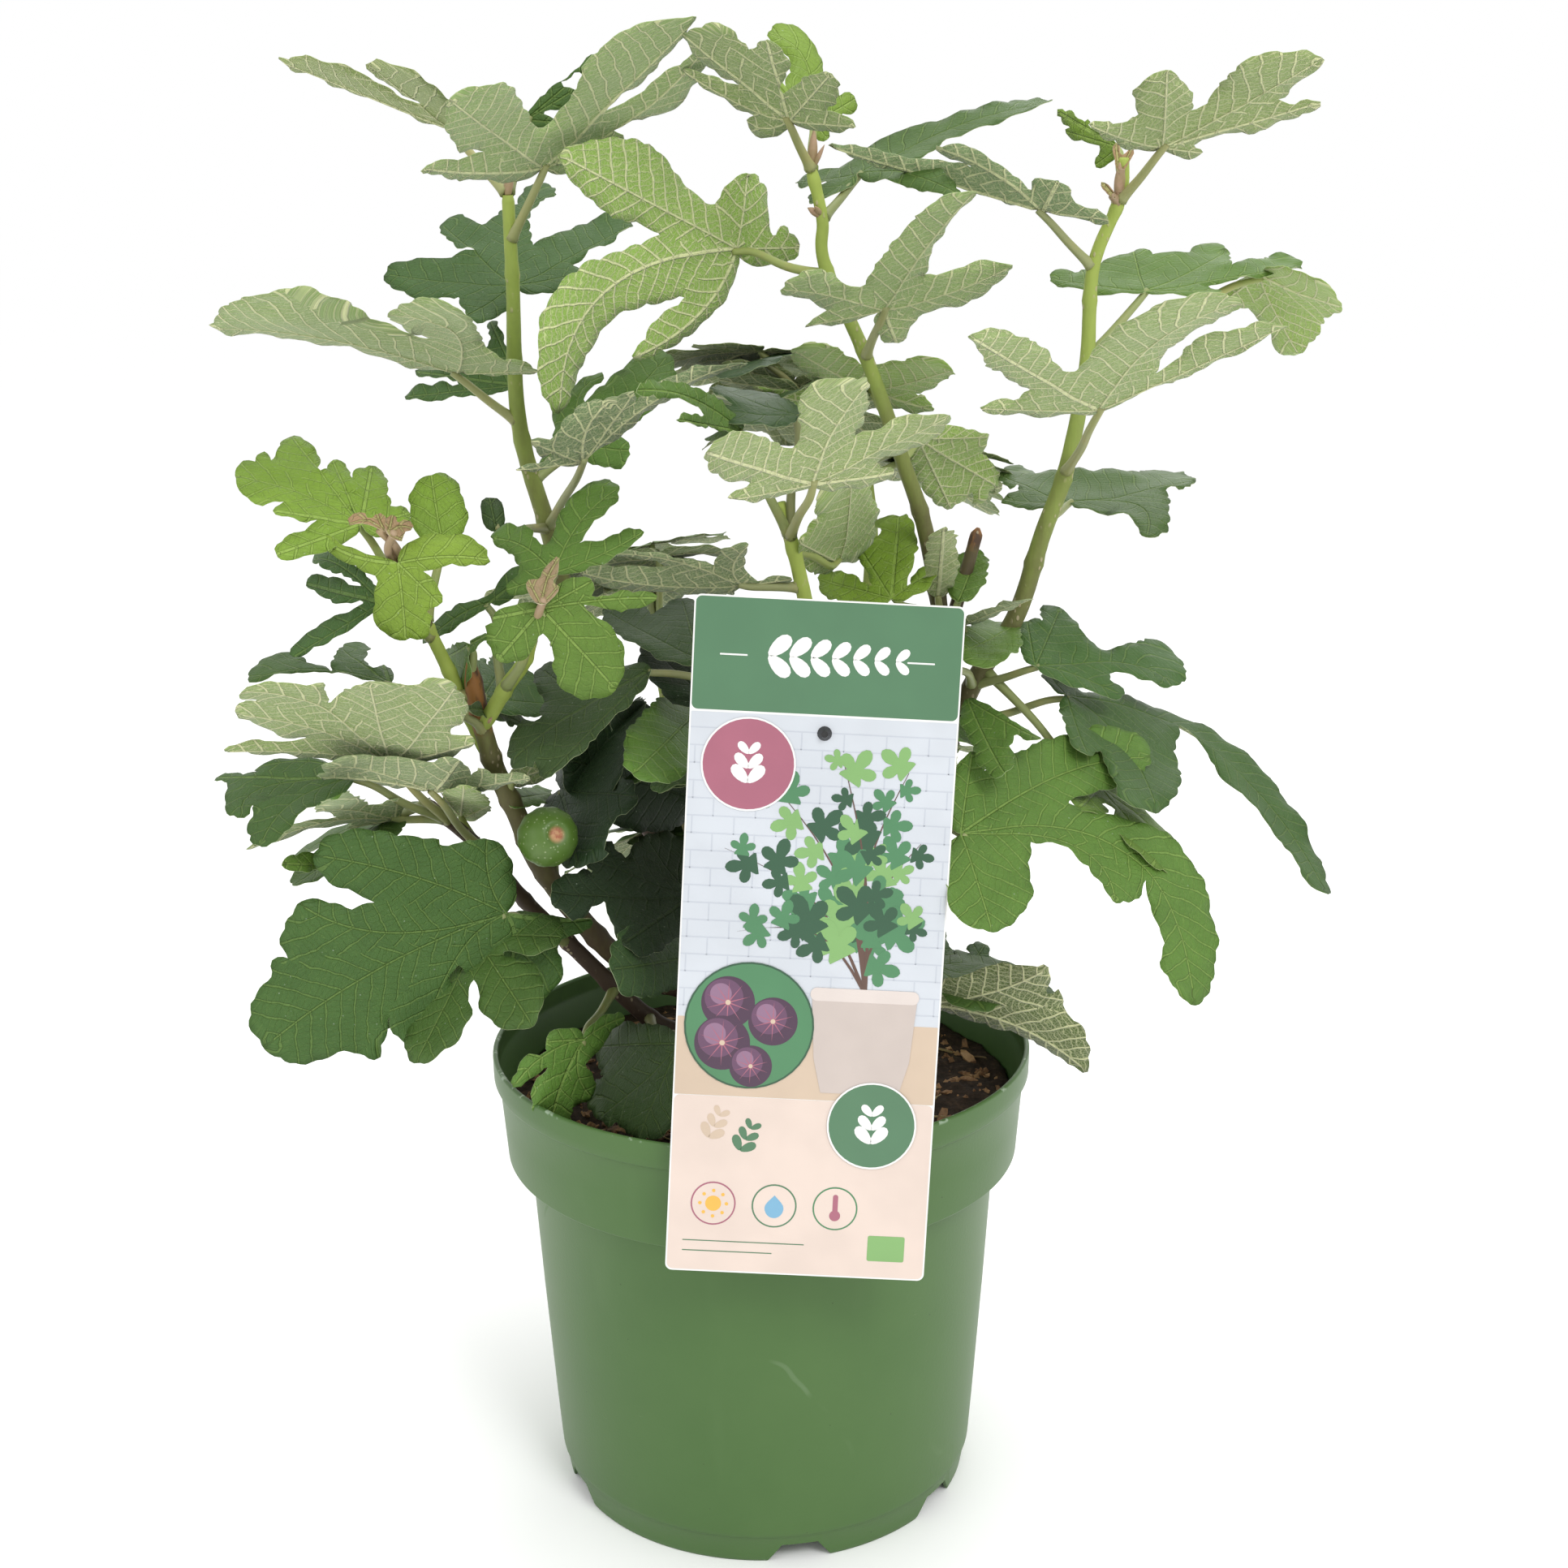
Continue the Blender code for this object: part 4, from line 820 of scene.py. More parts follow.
class Leaf:
    """One leaf in space: where it joins its stalk, its middle vein, its upper side and its flat outline."""

    def __init__(self, junction, forward, normal, size, colors, rng, droop=0.12, fold=0.10, wave=1.0, twist=0.0):
        self.junction = Vector(junction)
        self.normal = Vector(normal).normalized()
        self.forward = (Vector(forward) - self.normal * Vector(forward).dot(self.normal)).normalized()
        self.side = self.forward.cross(self.normal)
        self.size = size
        self.colors = colors
        self.rng = rng
        self.droop = droop
        self.fold = fold
        self.wave = wave
        self.twist = twist
        self.offset = rng.uniform(0, 50)
        self.blade = None

    def cut(self, outline, axes):
        self.blade = Blade(np.asarray(outline), [np.asarray(axis) for axis in axes], self.rng)
        return self

    def bend(self, flat):
        """Height of the drooping, rippled blade over its plane."""
        reach = np.linalg.norm(flat, axis=1) / self.size
        ripple = self.rough(flat, 2.6, 0.3)
        height = self.size * (0.045 * self.wave * ripple * reach - self.droop * reach ** 2)
        return height + self.twist * flat[:, 0] * flat[:, 1] / self.size

    def rough(self, flat, pace, layer):
        """A smooth random height for every flat place, with so many swells in a leaf's length."""
        return np.array([noise.noise(Vector((x * pace / self.size + self.offset, y * pace / self.size, layer)))
                         for x, y in flat])

    def under_pixels(self, pixels):
        """The flat places whose points on the drooping blade are seen at some pixels."""
        eye = np.array(CAMERA_PLACE)
        rays = np.array([tuple(ray(*place)) for place in pixels])
        centre, normal = np.array(self.junction), np.array(self.normal)
        axes = np.array([self.side, self.forward])
        height = np.zeros(len(rays))
        for _ in range(12):
            reach = ((centre - eye) @ normal + height) / (rays @ normal)
            flat = (eye + rays * reach[:, None] - centre) @ axes.T
            length = np.linalg.norm(flat, axis=1, keepdims=True)
            flat = flat * np.minimum(1, 1.9 * self.size / np.maximum(length, 1e-9))
            height = 0.5 * height + 0.5 * self.bend(flat)
        return flat

    def part(self, cell, cells):
        """The leaf's closed mesh; its baked picture takes two cells of a square sheet."""
        flat, faces = self.blade.mesh()
        from_vein, owner, along, lengths = self.blade.places(flat)
        loop = self.blade.outline
        to_margin, _, _ = distance_to_lines(flat, loop, np.roll(loop, -1, axis=0))
        size = self.size
        share = from_vein / (from_vein + to_margin + 1e-9)
        height = self.bend(flat) - self.fold * np.minimum(to_margin, 0.3 * size)
        height = height + self.wave * size * 0.030 * self.rough(flat, 8.0, 1.3) * share ** 2
        points = np.array(self.junction) + np.column_stack([flat, height]) @ np.array([self.side, self.forward, self.normal])
        normals = surface_normals(points, faces)
        if (normals @ np.array(self.normal)).mean() < 0:
            normals = -normals
            faces = [face[::-1] for face in faces]
        sides = {}
        for face in faces:
            for a, b in zip(face, face[1:] + face[:1]):
                sides[(a, b)] = True
        rim = [(a, b) for a, b in sides if (b, a) not in sides]
        on_rim = np.zeros(len(flat), bool)
        on_rim[[i for pair in rim for i in pair]] = True
        length = np.array(lengths)[owner]
        half_vein = VEIN_FOOT + (VEIN_TIP - VEIN_FOOT) * along / length
        ridge = np.clip(1 - from_vein / half_vein, 0, 1) * RIDGE_HEIGHT * np.clip(1.1 - along / length, 0.1, 1)
        half = (LEAF_THICKNESS / 2 * (1 - 0.5 * on_rim))[:, None]
        top = points + normals * (half - 0.35 * ridge[:, None])
        under = points - normals * (half + ridge[:, None])
        count = len(points)
        turned = [[i + count for i in face[::-1]] for face in faces]
        skirt = [[b, b + count, a + count, a] for a, b in rim]
        skirt = [face[::-1] for face in skirt]
        materials = [0] * len(faces) + [1] * len(faces) + [2] * len(rim)
        corners = np.array(faces)
        vein_uv = self.vein_corners(flat, corners)
        bake = flat / (size * 3.2) + 0.5
        upper_cell, under_cell = cell_corner(cell, cells), cell_corner(cell + 1, cells)
        ring = np.array([(b, b, a, a) for a, b in rim])[:, ::-1]
        ring_vein = np.column_stack([from_vein, along])[ring.ravel()] * 100
        uvs = {"vein": np.concatenate([vein_uv.reshape(-1, 2), vein_uv[:, ::-1].reshape(-1, 2), ring_vein]),
               "OFBake": np.concatenate([upper_cell[:2] + bake[corners.ravel()] * upper_cell[2],
                                         under_cell[:2] + bake[corners[:, ::-1].ravel()] * under_cell[2],
                                         under_cell[:2] + bake[ring.ravel()] * under_cell[2]])}
        upper, lower = self.colors
        values = {"leaf_color": np.tile(upper, (2 * count, 1)), "under_color": np.tile(lower, (2 * count, 1))}
        return {"points": np.vstack([top, under]), "faces": faces + turned + skirt, "materials": materials,
                "values": values, "uvs": uvs}

    def vein_corners(self, flat, corners):
        """Each corner's distance from the vein that its triangle belongs to and its place along it, in centimetres."""
        middles = flat[corners].mean(axis=1)
        _, owner, _, _ = self.blade.places(middles)
        places = np.zeros((len(corners), 3, 2))
        for index, axis in enumerate(self.blade.axes):
            mine = owner == index
            if not mine.any():
                continue
            chosen = flat[corners[mine]].reshape(-1, 2)
            distance, piece, share = distance_to_lines(chosen, axis[:-1], axis[1:])
            run = axis[1:] - axis[:-1]
            spans = np.linalg.norm(run, axis=1)
            along = (np.cumsum(spans) - spans)[piece] + share * spans[piece]
            offset = chosen - axis[piece]
            sign = np.sign(run[piece, 0] * offset[:, 1] - run[piece, 1] * offset[:, 0])
            draw = self.blade.draws[index]
            places[mine] = np.column_stack([distance * sign, along + 0.4 * draw]).reshape(-1, 3, 2) * 100
        return places


def cell_corner(cell, cells):
    """Corner and side of one cell of a square sheet."""
    across = max(1, math.ceil(math.sqrt(cells)))
    side = 1 / across
    return np.array([(cell % across) * side, (cell // across) * side, side])


# Leaf colours: upper and under side. Besides the leaves' own greens, the darker steps from deep to black carry painted
# shade, darker the deeper a leaf lies in the plant's shadow.
TINTS = {
    "bright": ((0.185, 0.310, 0.036), (0.26, 0.37, 0.12)),
    "mid": ((0.098, 0.190, 0.028), (0.21, 0.30, 0.100)),
    "deep": ((0.056, 0.118, 0.024), (0.18, 0.25, 0.090)),
    "dark": ((0.034, 0.068, 0.019), (0.14, 0.20, 0.080)),
    # black and shade: painted shade, for leaves that lie deep in the plant's shadow
    "black": ((0.014, 0.032, 0.011), (0.08, 0.12, 0.05)),
    "shade": ((0.040, 0.080, 0.022), (0.11, 0.155, 0.048)),
    "grey": ((0.066, 0.115, 0.038), (0.20, 0.27, 0.115)),
    # light: a painted glow of light shining through backlit leaves
    "light": ((0.145, 0.275, 0.045), (0.25, 0.39, 0.070)),
    "pale": ((0.080, 0.165, 0.035), (0.25, 0.345, 0.115)),
    "young": ((0.300, 0.200, 0.110), (0.36, 0.23, 0.16)),
}


def tinted(tint, rng):
    """A tint's two colours, a little lighter or darker for each leaf."""
    lightness = rng.uniform(0.88, 1.14)
    warmth = rng.uniform(0.93, 1.08)
    made = []
    for red, green, blue in TINTS[tint]:
        made.append(np.array([red * lightness * warmth, green * lightness, blue * lightness / warmth]))
    return made


def leaf_plane(junction, tips, under, foot, droop, low, high):
    """The plane in which the lobes' tips, seen at their pixels, best agree with a natural leaf.

    Returns the upper normal, the middle lobe's direction and the longest lobe's length.
    """
    rays = {slot: ray(*tip) for slot, tip in tips.items()}
    to_camera = (CAMERA_PLACE - junction).normalized()
    away = Vector((junction.x - foot.x, junction.y - foot.y, 0))
    best, best_cost = None, 1e9
    for tilt in range(4, 88, 4):
        for bearing in range(0, 360, 8):
            t, b = math.radians(tilt), math.radians(bearing)
            normal = Vector((math.sin(t) * math.cos(b), math.sin(t) * math.sin(b), math.cos(t)))
            facing = normal.dot(to_camera)
            if (facing > 0) == under or abs(facing) < LEAST_FACING:
                continue
            drop = junction - normal * droop
            found = {}
            for slot, direction in rays.items():
                reach = (drop - CAMERA_PLACE).dot(normal) / direction.dot(normal)
                found[slot] = CAMERA_PLACE + direction * reach - drop
            middle = found[0]
            if middle.length < 0.012:
                continue
            forward = middle.normalized()
            side = forward.cross(normal)
            longest = max(offset.length for offset in found.values())
            cost = ((longest - LEAF_LENGTH) / 0.024) ** 2 + (tilt / 55) ** 2 * 0.6
            if away.length > 0.005:
                level = Vector((forward.x, forward.y, 0))
                cost += 0.4 * (1 - level.dot(away.normalized()))
            for slot, offset in found.items():
                place = drop + offset
                for axis in range(3):
                    beyond = max(low[axis] - place[axis], place[axis] - high[axis]) - BOX_MARGIN
                    cost += (max(beyond, 0) / 0.012) ** 2
                if slot in LOBE_ANGLES and slot:
                    angle = math.degrees(math.atan2(offset.dot(side), offset.dot(forward)))
                    cost += ((angle - LOBE_ANGLES[slot]) / 24) ** 2
                    cost += ((offset.length / middle.length - LOBE_LENGTHS[slot]) / 0.30) ** 2
            if cost < best_cost:
                best, best_cost = (normal, forward, longest), cost
    return best


# Leaves that the picture shows. Each: mass, side seen, tint, junction's pixel and depth, limb and pixel of the
# stalk's foot; lobes clockwise in the picture, 0 the middle one, each with its tip's pixel, its width in pixels
# before and after its vein and, where that is bent, a pixel on it; and the notches' pixels between the lobes.
# The tints below carry painted light and shade as at TINTS: deep to black painted shade, light a painted glow through
# backlit leaves.
SEEN_LEAVES = {
    "young_outer_left": ("left_outer", "upper", "young", (474, 654), -0.105, "shoot_left_outer", (500, 720),
                         {0: (431, 646, 5, 9, 452, 640), 1: (464, 632, 6, 8)}, [(456, 640)]),
    "young_outer_right": ("left_outer", "upper", "young", (478, 656), -0.107, "shoot_left_outer", (500, 720),
                          {-1: (484, 634, 6, 7), 0: (508, 652, 7, 5, 494, 647), 1: (497, 666, 4, 4)},
                          [(488, 645), (497, 660)]),
    "young_front_left": ("left_front", "upper", "young", (667, 744), -0.112, "shoot_left_front", (655, 790),
                         {-1: (651, 714, 7, 6), 0: (690, 686, 8, 8, 674, 712), 1: (688, 722, 6, 5)},
                         [(664, 714), (684, 714)]),
    "young_crown_right": ("right_crown", "upper", "young", (1379, 212), -0.008, "bough_right_tall", (1377, 240),
                          {-1: (1375, 174, 4, 4), 0: (1396, 180, 4, 5, 1388, 195)}, [(1382, 192)]),
    "young_stipule_right": ("right_crown", "upper", "young", (1374, 244), -0.009, "bough_right_tall", (1377, 250),
                            {0: (1357, 224, 4, 4)}, []),
    "crown_left_outer": ("left_crown_outer", "under", "pale", (560, 160), 0.010, "bough_left_tall", (619, 234),
                         {0: (342, 74, 3, 24), 1: (454, 79, 4, 28)}, [(519, 127)]),
    "crown_left": ("left_crown", "under", "pale", (669, 206), -0.020, "bough_left_tall", (634, 295),
                   {-2: (520, 207, 13, 17, 595, 212), -1: (553, 122, 46, 56), 0: (857, 24, 58, 10),
                    1: (882, 42, 16, 24, 785, 140), 2: (767, 166, 4, 16)},
                   [(596, 188), (668, 157), (744, 135), (757, 161)]),
    "crown_left_young": ("left_crown", "upper", "deep", (648, 148), 0.020, "bough_left_tall", (627, 234),
                         {0: (752, 60, 10, 14), 1: (706, 112, 6, 10), 2: (687, 151, 8, 8)},
                         [(705, 92), (668, 140)]),
    "back_left": ("left_back", "upper", "deep", (633, 352), 0.035, "bough_left_tall", (632, 352),
                  {-2: (575, 390, 22, 22), -1: (474, 338, 24, 24), 0: (543, 276, 10, 30),
                   0.5: (685, 239, 20, 4, 645, 270), 1: (781, 276, 30, 6), 2: (736, 331, 6, 16)},
                  [(557, 366), (590, 311), (630, 256), (655, 303), (706, 324)]),
    "reach_left": ("left_reach", "under", "pale", (563, 459), 0.0, "bough_left_tall", (638, 520),
                   {0: (256, 405, 10, 54, 400, 414), 1: (480, 388, 22, 28, 558, 405), 2: (665, 457, 18, 2)},
                   [(527, 414), (597, 430)]),
    "reach_left_lower": ("left_reach", "upper", "deep", (640, 474), 0.025, "bough_left_tall", (641, 524),
                         {-1: (498, 489, 8, 12), 0: (510, 458, 6, 8), 1: (603, 393, 7, 7)},
                         [(575, 474), (590, 440)]),
    "fork_left": ("left_fork", "under", "grey", (718, 568), -0.030, "bough_left_tall", (702, 640),
                  {-2: (633, 580, 4, 6), -1: (657, 545, 12, 14, 694, 560), -0.5: (750, 498, 18, 6, 722, 528),
                   0: (782, 482, 20, 3), 0.5: (923, 445, 11, 8, 815, 487)},
                  [(681, 560), (692, 528), (741, 527), (801, 479)]),
    "fork_left_behind": ("left_fork", "upper", "mid", (716, 548), 0.020, "bough_left_tall", (660, 590),
                         {-2: (665, 572, 10, 8), -1: (684, 496, 14, 10), -0.5: (743, 464, 8, 8, 712, 490),
                          0: (824, 437, 30, 32), 1: (777, 556, 14, 22)},
                         [(684, 530), (700, 484), (722, 494), (765, 540)]),
    "outer_left_bright": ("left_outer", "upper", "bright", (445, 645), -0.080, "shoot_left_outer", (480, 700),
                          {-2: (339, 683, 16, 18), -1.5: (338, 629, 6, 10), 0: (287, 586, 28, 20, 370, 605),
                           0.5: (358, 535, 25, 12), 0.8: (409, 565, 12, 14), 1: (458, 575, 22, 24),
                           2: (506, 632, 12, 20)},
                          [(393, 640), (347, 617), (325, 558), (395, 583), (430, 608), (480, 622)]),
    "outer_left_small": ("left_outer", "upper", "bright", (546, 672), -0.050, "shoot_left_outer", (548, 740),
                         {0: (531, 583, 32, 34)}, []),
    "outer_left_dark": ("left_outer", "upper", "dark", (612, 655), -0.030, "bough_left_tall", (668, 650),
                        {0: (603, 613, 14, 14)}, []),
    "outer_left_front": ("left_outer", "upper", "bright", (490, 694), -0.100, "shoot_left_outer", (520, 770),
                         {-1: (604, 690, 27, 11, 547, 686), -0.5: (541, 744, 14, 14), 0: (500, 789, 30, 38),
                          1: (387, 655, 8, 7, 430, 683)},
                         [(521, 704), (530, 762), (461, 707)]),
    "outer_left_low": ("left_outer", "upper", "deep", (470, 742), -0.075, "shoot_left_outer", (526, 790),
                       {-1: (359, 811, 7, 17), 0: (376, 719, 12, 16), 1: (385, 690, 11, 12, 420, 697)},
                       [(450, 743), (448, 724)]),
    "front_left_low": ("left_front", "upper", "deep", (604, 742), -0.050, "shoot_left_front", (630, 860),
                       {0: (522, 793, 11, 12, 565, 758), 2: (650, 704, 14, 14)}, [(600, 735)]),
    "front_left_upper": ("left_front", "upper", "mid", (681, 706), -0.085, "shoot_left_front", (648, 817),
                         {-2: (624, 727, 12, 12), -1: (607, 664, 15, 21, 645, 673), 0: (762, 602, 27, 16, 715, 641),
                          1: (794, 655, 17, 9, 738, 684)},
                         [(641, 702), (671, 670), (714, 670)]),
    "front_left_bright": ("left_front", "upper", "mid", (667, 750), -0.105, "shoot_left_front", (630, 850),
                          {-2: (729, 716, 15, 18), -1: (812, 737, 9, 13, 745, 739), 0: (758, 849, 46, 46),
                           1: (614, 812, 24, 26), 2: (605, 762, 18, 12)},
                          [(737, 732), (722, 747), (669, 781), (601, 769)]),
    "inner_left_small": ("inner_left", "upper", "mid", (579, 794), -0.060, "bough_left_pruned", (592, 850),
                         {-1: (599, 783, 4, 5), 0: (564, 851, 12, 13), 1: (544, 814, 10, 8)},
                         [(580, 806), (553, 826)]),
    "inner_left_mid": ("inner_left", "upper", "deep", (596, 858), -0.040, "bough_left_pruned", (600, 880),
                       {-1: (588, 812, 10, 12), 0: (628, 806, 16, 14), 1: (703, 868, 22, 20)},
                       [(600, 818), (650, 826)]),
    "inner_left_thin": ("inner_left", "upper", "grey", (572, 874), -0.075, "bough_left_pruned", (598, 900),
                        {0: (665, 905, 8, 8, 618, 880)}, []),
    "low_left_upper": ("left_low", "upper", "deep", (480, 842), -0.050, "bough_left_pruned", (592, 860),
                       {0: (307, 838, 4, 22, 390, 824), 1: (420, 799, 26, 22), 2: (472, 818, 8, 8)},
                       [(397, 818), (455, 815)]),
    "low_left": ("left_low", "under", "pale", (483, 941), -0.060, "bough_left_low", (537, 1035),
                 {-2: (273, 926, 7, 11, 396, 926), -1: (291, 880, 18, 20, 400, 898), 0: (297, 852, 10, 14, 395, 868),
                  0.5: (455, 839, 40, 40), 1: (562, 845, 30, 34, 530, 885), 2: (586, 915, 14, 10)},
                 [(377, 911), (298, 862), (400, 842), (520, 842), (556, 903)]),
    "skirt_left": ("left_skirt", "under", "grey", (535, 975), -0.050, "bough_left_low", (618, 1028),
                   {-1: (390, 957, 4, 12, 470, 962), 0: (398, 946, 10, 14, 460, 948), 1: (566, 936, 22, 16),
                    2: (655, 958, 10, 8)},
                   [(440, 950), (525, 940), (590, 946)]),
    "skirt_left_hanging": ("left_skirt", "upper", "deep", (440, 957), -0.060, "bough_left_low", (560, 1000),
                           {-1: (322, 1041, 24, 24, 362, 984), 0: (300, 1006, 12, 24, 325, 968),
                            0.5: (264, 958, 5, 6, 340, 957), 1: (314, 947, 4, 5, 380, 938)},
                           [(316, 992), (282, 963), (326, 950)]),
    "skirt_left_small": ("left_skirt", "under", "mid", (486, 1007), -0.030, "bough_left_low", (535, 1033),
                         {-1.5: (429, 1020, 4, 8), -1: (303, 1047, 6, 7, 398, 1011), 0: (389, 998, 6, 22, 435, 996),
                          1: (490, 984, 14, 8)},
                         [(440, 1014), (418, 1004), (464, 992)]),
    "skirt_left_inner": ("left_skirt", "under", "light", (568, 1006), -0.020, "bough_left_low", (600, 1030),
                         {-1: (545, 977, 8, 14), 0: (572, 968, 14, 14), 1: (604, 992, 14, 10)},
                         [(557, 974), (594, 976)]),
    "hanging_left": ("left_hanging", "upper", "deep", (624, 1126), -0.055, "bough_left_low", (700, 1160),
                     {-2: (728, 1131, 4, 16, 680, 1134), -1: (612, 1229, 60, 44, 635, 1170),
                      -0.5: (522, 1290, 20, 44, 560, 1185), 0: (326, 1290, 60, 60, 474, 1192),
                      0.5: (368, 1113, 60, 22, 480, 1150), 1: (389, 1054, 36, 46, 515, 1082),
                      2: (600, 1032, 30, 28, 604, 1085)},
                     [(692, 1158), (561, 1189), (468, 1300), (345, 1176), (460, 1112), (541, 1036)]),
    "hanging_left_behind": ("left_hanging", "upper", "mid", (435, 1066), -0.030, "bough_left_low", (640, 1060),
                            {0: (344, 1064, 9, 12)}, []),
    "pot_left_outer": ("pot_left", "upper", "mid", (720, 1281), -0.060, "bough_left_low", (760, 1215),
                       {-2: (771, 1253, 10, 10, 745, 1264), -1: (729, 1352, 16, 18, 712, 1318),
                        0: (678, 1388, 26, 32, 696, 1330), 1: (634, 1338, 10, 12, 672, 1300),
                        2: (673, 1284, 12, 16, 700, 1282)},
                       [(722, 1308), (705, 1370), (674, 1314), (674, 1297)]),
    "pot_left_inner": ("pot_left", "upper", "dark", (838, 1286), -0.070, "bough_left_low", (800, 1250),
                       {-1: (788, 1404, 36, 20, 805, 1350), 0: (738, 1378, 18, 40, 775, 1345),
                        1: (733, 1290, 36, 26, 785, 1286)},
                       [(760, 1381), (735, 1330)]),
    # The inner front leaves, dark and black, are painted shade: the shadow deep inside the plant's front;
    # inner_front_fill puts a black leaf in its dark hollow.
    "inner_front_dark": ("inner_front", "upper", "dark", (846, 1180), -0.040, "bough_middle_front", (940, 1120),
                         {0: (754, 1194, 40, 46)}, []),
    "inner_front_mid": ("inner_front", "upper", "black", (852, 1104), -0.030, "bough_middle_front", (940, 1090),
                        {-1: (767, 1163, 34, 34), -0.5: (675, 1098, 24, 22, 760, 1104), 0: (724, 1055, 20, 24),
                         1: (795, 1030, 32, 34)},
                        [(711, 1132), (719, 1073), (762, 1050)]),
    "inner_front_low": ("inner_front", "upper", "black", (690, 972), -0.020, "bough_left_pruned", (680, 1090),
                        {-2: (800, 876, 34, 34, 752, 905), -1: (785, 981, 20, 26), 0: (712, 1068, 44, 30)},
                        [(752, 974), (745, 1042)]),
    "inner_front_fill": ("inner_front", "upper", "black", (862, 985), 0.030, "bough_middle_front", (930, 960),
                         {0: (700, 935, 60, 60), 1: (770, 870, 40, 30)}, [(740, 885)]),
    "inner_front_green": ("inner_front", "upper", "mid", (860, 874), -0.010, "bough_middle_front", (950, 900),
                          {0: (782, 952, 42, 44)}, []),
    "inner_front_long": ("inner_front", "upper", "dark", (803, 824), -0.055, "bough_middle_front", (940, 860),
                         {0: (672, 957, 11, 26, 742, 885), 1: (630, 938, 22, 26, 700, 880),
                          2: (666, 822, 24, 26, 730, 850)},
                         [(664, 922), (668, 884)]),
    "inner_front_edge": ("inner_front", "upper", "black", (874, 862), -0.040, "bough_middle_front", (950, 880),
                         {0: (795, 788, 34, 34)}, []),
    "inner_left_pair": ("inner_left", "under", "mid", (626, 962), -0.050, "bough_left_pruned", (618, 985),
                        {0: (680, 944, 14, 14)}, []),
    "inner_left_lower": ("inner_left", "upper", "mid", (626, 984), -0.045, "bough_left_pruned", (625, 1000),
                         {0: (682, 976, 12, 12)}, []),
    "inner_top_long": ("inner_top", "under", "grey", (916, 720), -0.040, "bough_middle_front", (960, 731),
                       {0: (712, 704, 11, 20, 804, 719), 0.5: (749, 682, 3, 4, 832, 690),
                        1: (924, 671, 19, 14, 903, 697), 2: (977, 713, 5, 5)},
                       [(828, 696), (879, 697), (933, 714)]),
    "inner_top_dark": ("inner_top", "upper", "dark", (862, 812), -0.040, "bough_middle_front", (950, 830),
                       {0: (745, 752, 22, 24), 1: (840, 738, 22, 18)}, [(800, 748)]),
    "middle_left": ("middle_left", "under", "light", (907, 306), 0.010, "bough_middle_tall", (1016, 338),
                    {-1: (780, 441, 14, 26, 862, 385), 0: (690, 512, 28, 46, 740, 362), 1: (688, 190, 36, 62),
                     2: (921, 212, 30, 32), 3: (985, 305, 28, 22)},
                    [(842, 367), (813, 291), (882, 252), (950, 290)]),
    "crown_middle": ("middle_crown", "under", "pale", (973, 147), -0.030, "bough_middle_tall", (997, 210),
                     {-2: (917, 149, 12, 8, 945, 157), -1: (839, 85, 5, 14, 912, 127), 0: (842, 42, 14, 42),
                      0.5: (945, 48, 15, 15), 1: (1024, 90, 22, 28), 2: (1054, 156, 14, 10)},
                     [(923, 141), (922, 112), (917, 52), (966, 113), (1017, 137)]),
    "crown_middle_bright": ("middle_crown", "upper", "bright", (1004, 152), 0.012, "bough_middle_tall",
                            (1003, 180),
                            {-1: (950, 90, 8, 8), 0: (947, 43, 16, 20, 992, 72), 1: (1054, 122, 12, 12),
                             2: (1020, 172, 8, 10)},
                            [(968, 110), (1020, 110), (1035, 142)]),
    "bridge_long": ("middle_bridge", "upper", "deep", (1056, 214), 0.010, "bough_middle_tall", (1022, 269),
                    {-2: (996, 252, 8, 10), -1: (982, 225, 8, 10), 0: (1298, 124, 10, 12, 1172, 155),
                     1: (1181, 240, 18, 14, 1115, 212)},
                    [(1020, 226), (1050, 198), (1110, 205)]),
    "bridge_right": ("middle_bridge", "under", "grey", (1285, 260), -0.010, "bough_right_tall", (1340, 332),
                     {0: (1020, 180, 5, 16), 1: (1153, 181, 8, 14, 1225, 212), 1.5: (1305, 221, 28, 24),
                      2: (1364, 270, 12, 3)},
                     [(1200, 207), (1268, 234), (1325, 248)]),
    "upper_middle": ("middle_upper", "under", "pale", (1089, 381), -0.040, "bough_middle_tall", (1066, 440),
                     {-2: (989, 402, 5, 8), -1: (964, 357, 13, 26, 1022, 362), 0: (1201, 236, 30, 8, 1140, 305),
                      1: (1246, 328, 20, 20, 1172, 357), 2: (1105, 423, 22, 18)},
                     [(1019, 380), (1064, 350), (1135, 342), (1130, 390)]),
    "crown_right": ("right_crown", "under", "pale", (1432, 180), -0.020, "bough_right_tall", (1379, 249),
                    {-2: (1339, 153, 11, 15, 1390, 171), -1: (1438, 84, 38, 32), 0: (1630, 72, 44, 14),
                     1: (1625, 126, 10, 12), 2: (1482, 188, 6, 9)},
                    [(1400, 147), (1467, 135), (1575, 122), (1469, 178)]),
    "crown_right_small": ("right_crown", "upper", "bright", (1378, 182), 0.010, "bough_right_tall", (1384, 225),
                          {-1: (1350, 204, 8, 8), 0: (1312, 162, 7, 7), 1: (1303, 138, 8, 7)},
                          [(1355, 182), (1345, 150)]),
    "reach_right": ("right_reach", "upper", "mid", (1411, 358), 0.010, "bough_right_tall", (1357, 446),
                    {-2: (1293, 343, 9, 12), -1: (1396, 308, 30, 20), 0: (1512, 310, 20, 20),
                     1: (1602, 328, 20, 4), 2: (1505, 357, 3, 6)},
                    [(1340, 330), (1440, 312), (1545, 318), (1490, 349)]),
    "reach_right_outer": ("right_reach", "under", "light", (1552, 338), 0.030, "bough_right_tall", (1350, 440),
                          {-1: (1653, 378, 22, 14), 0: (1601, 438, 34, 24), 1: (1512, 368, 22, 8)},
                          [(1630, 392), (1562, 402)]),
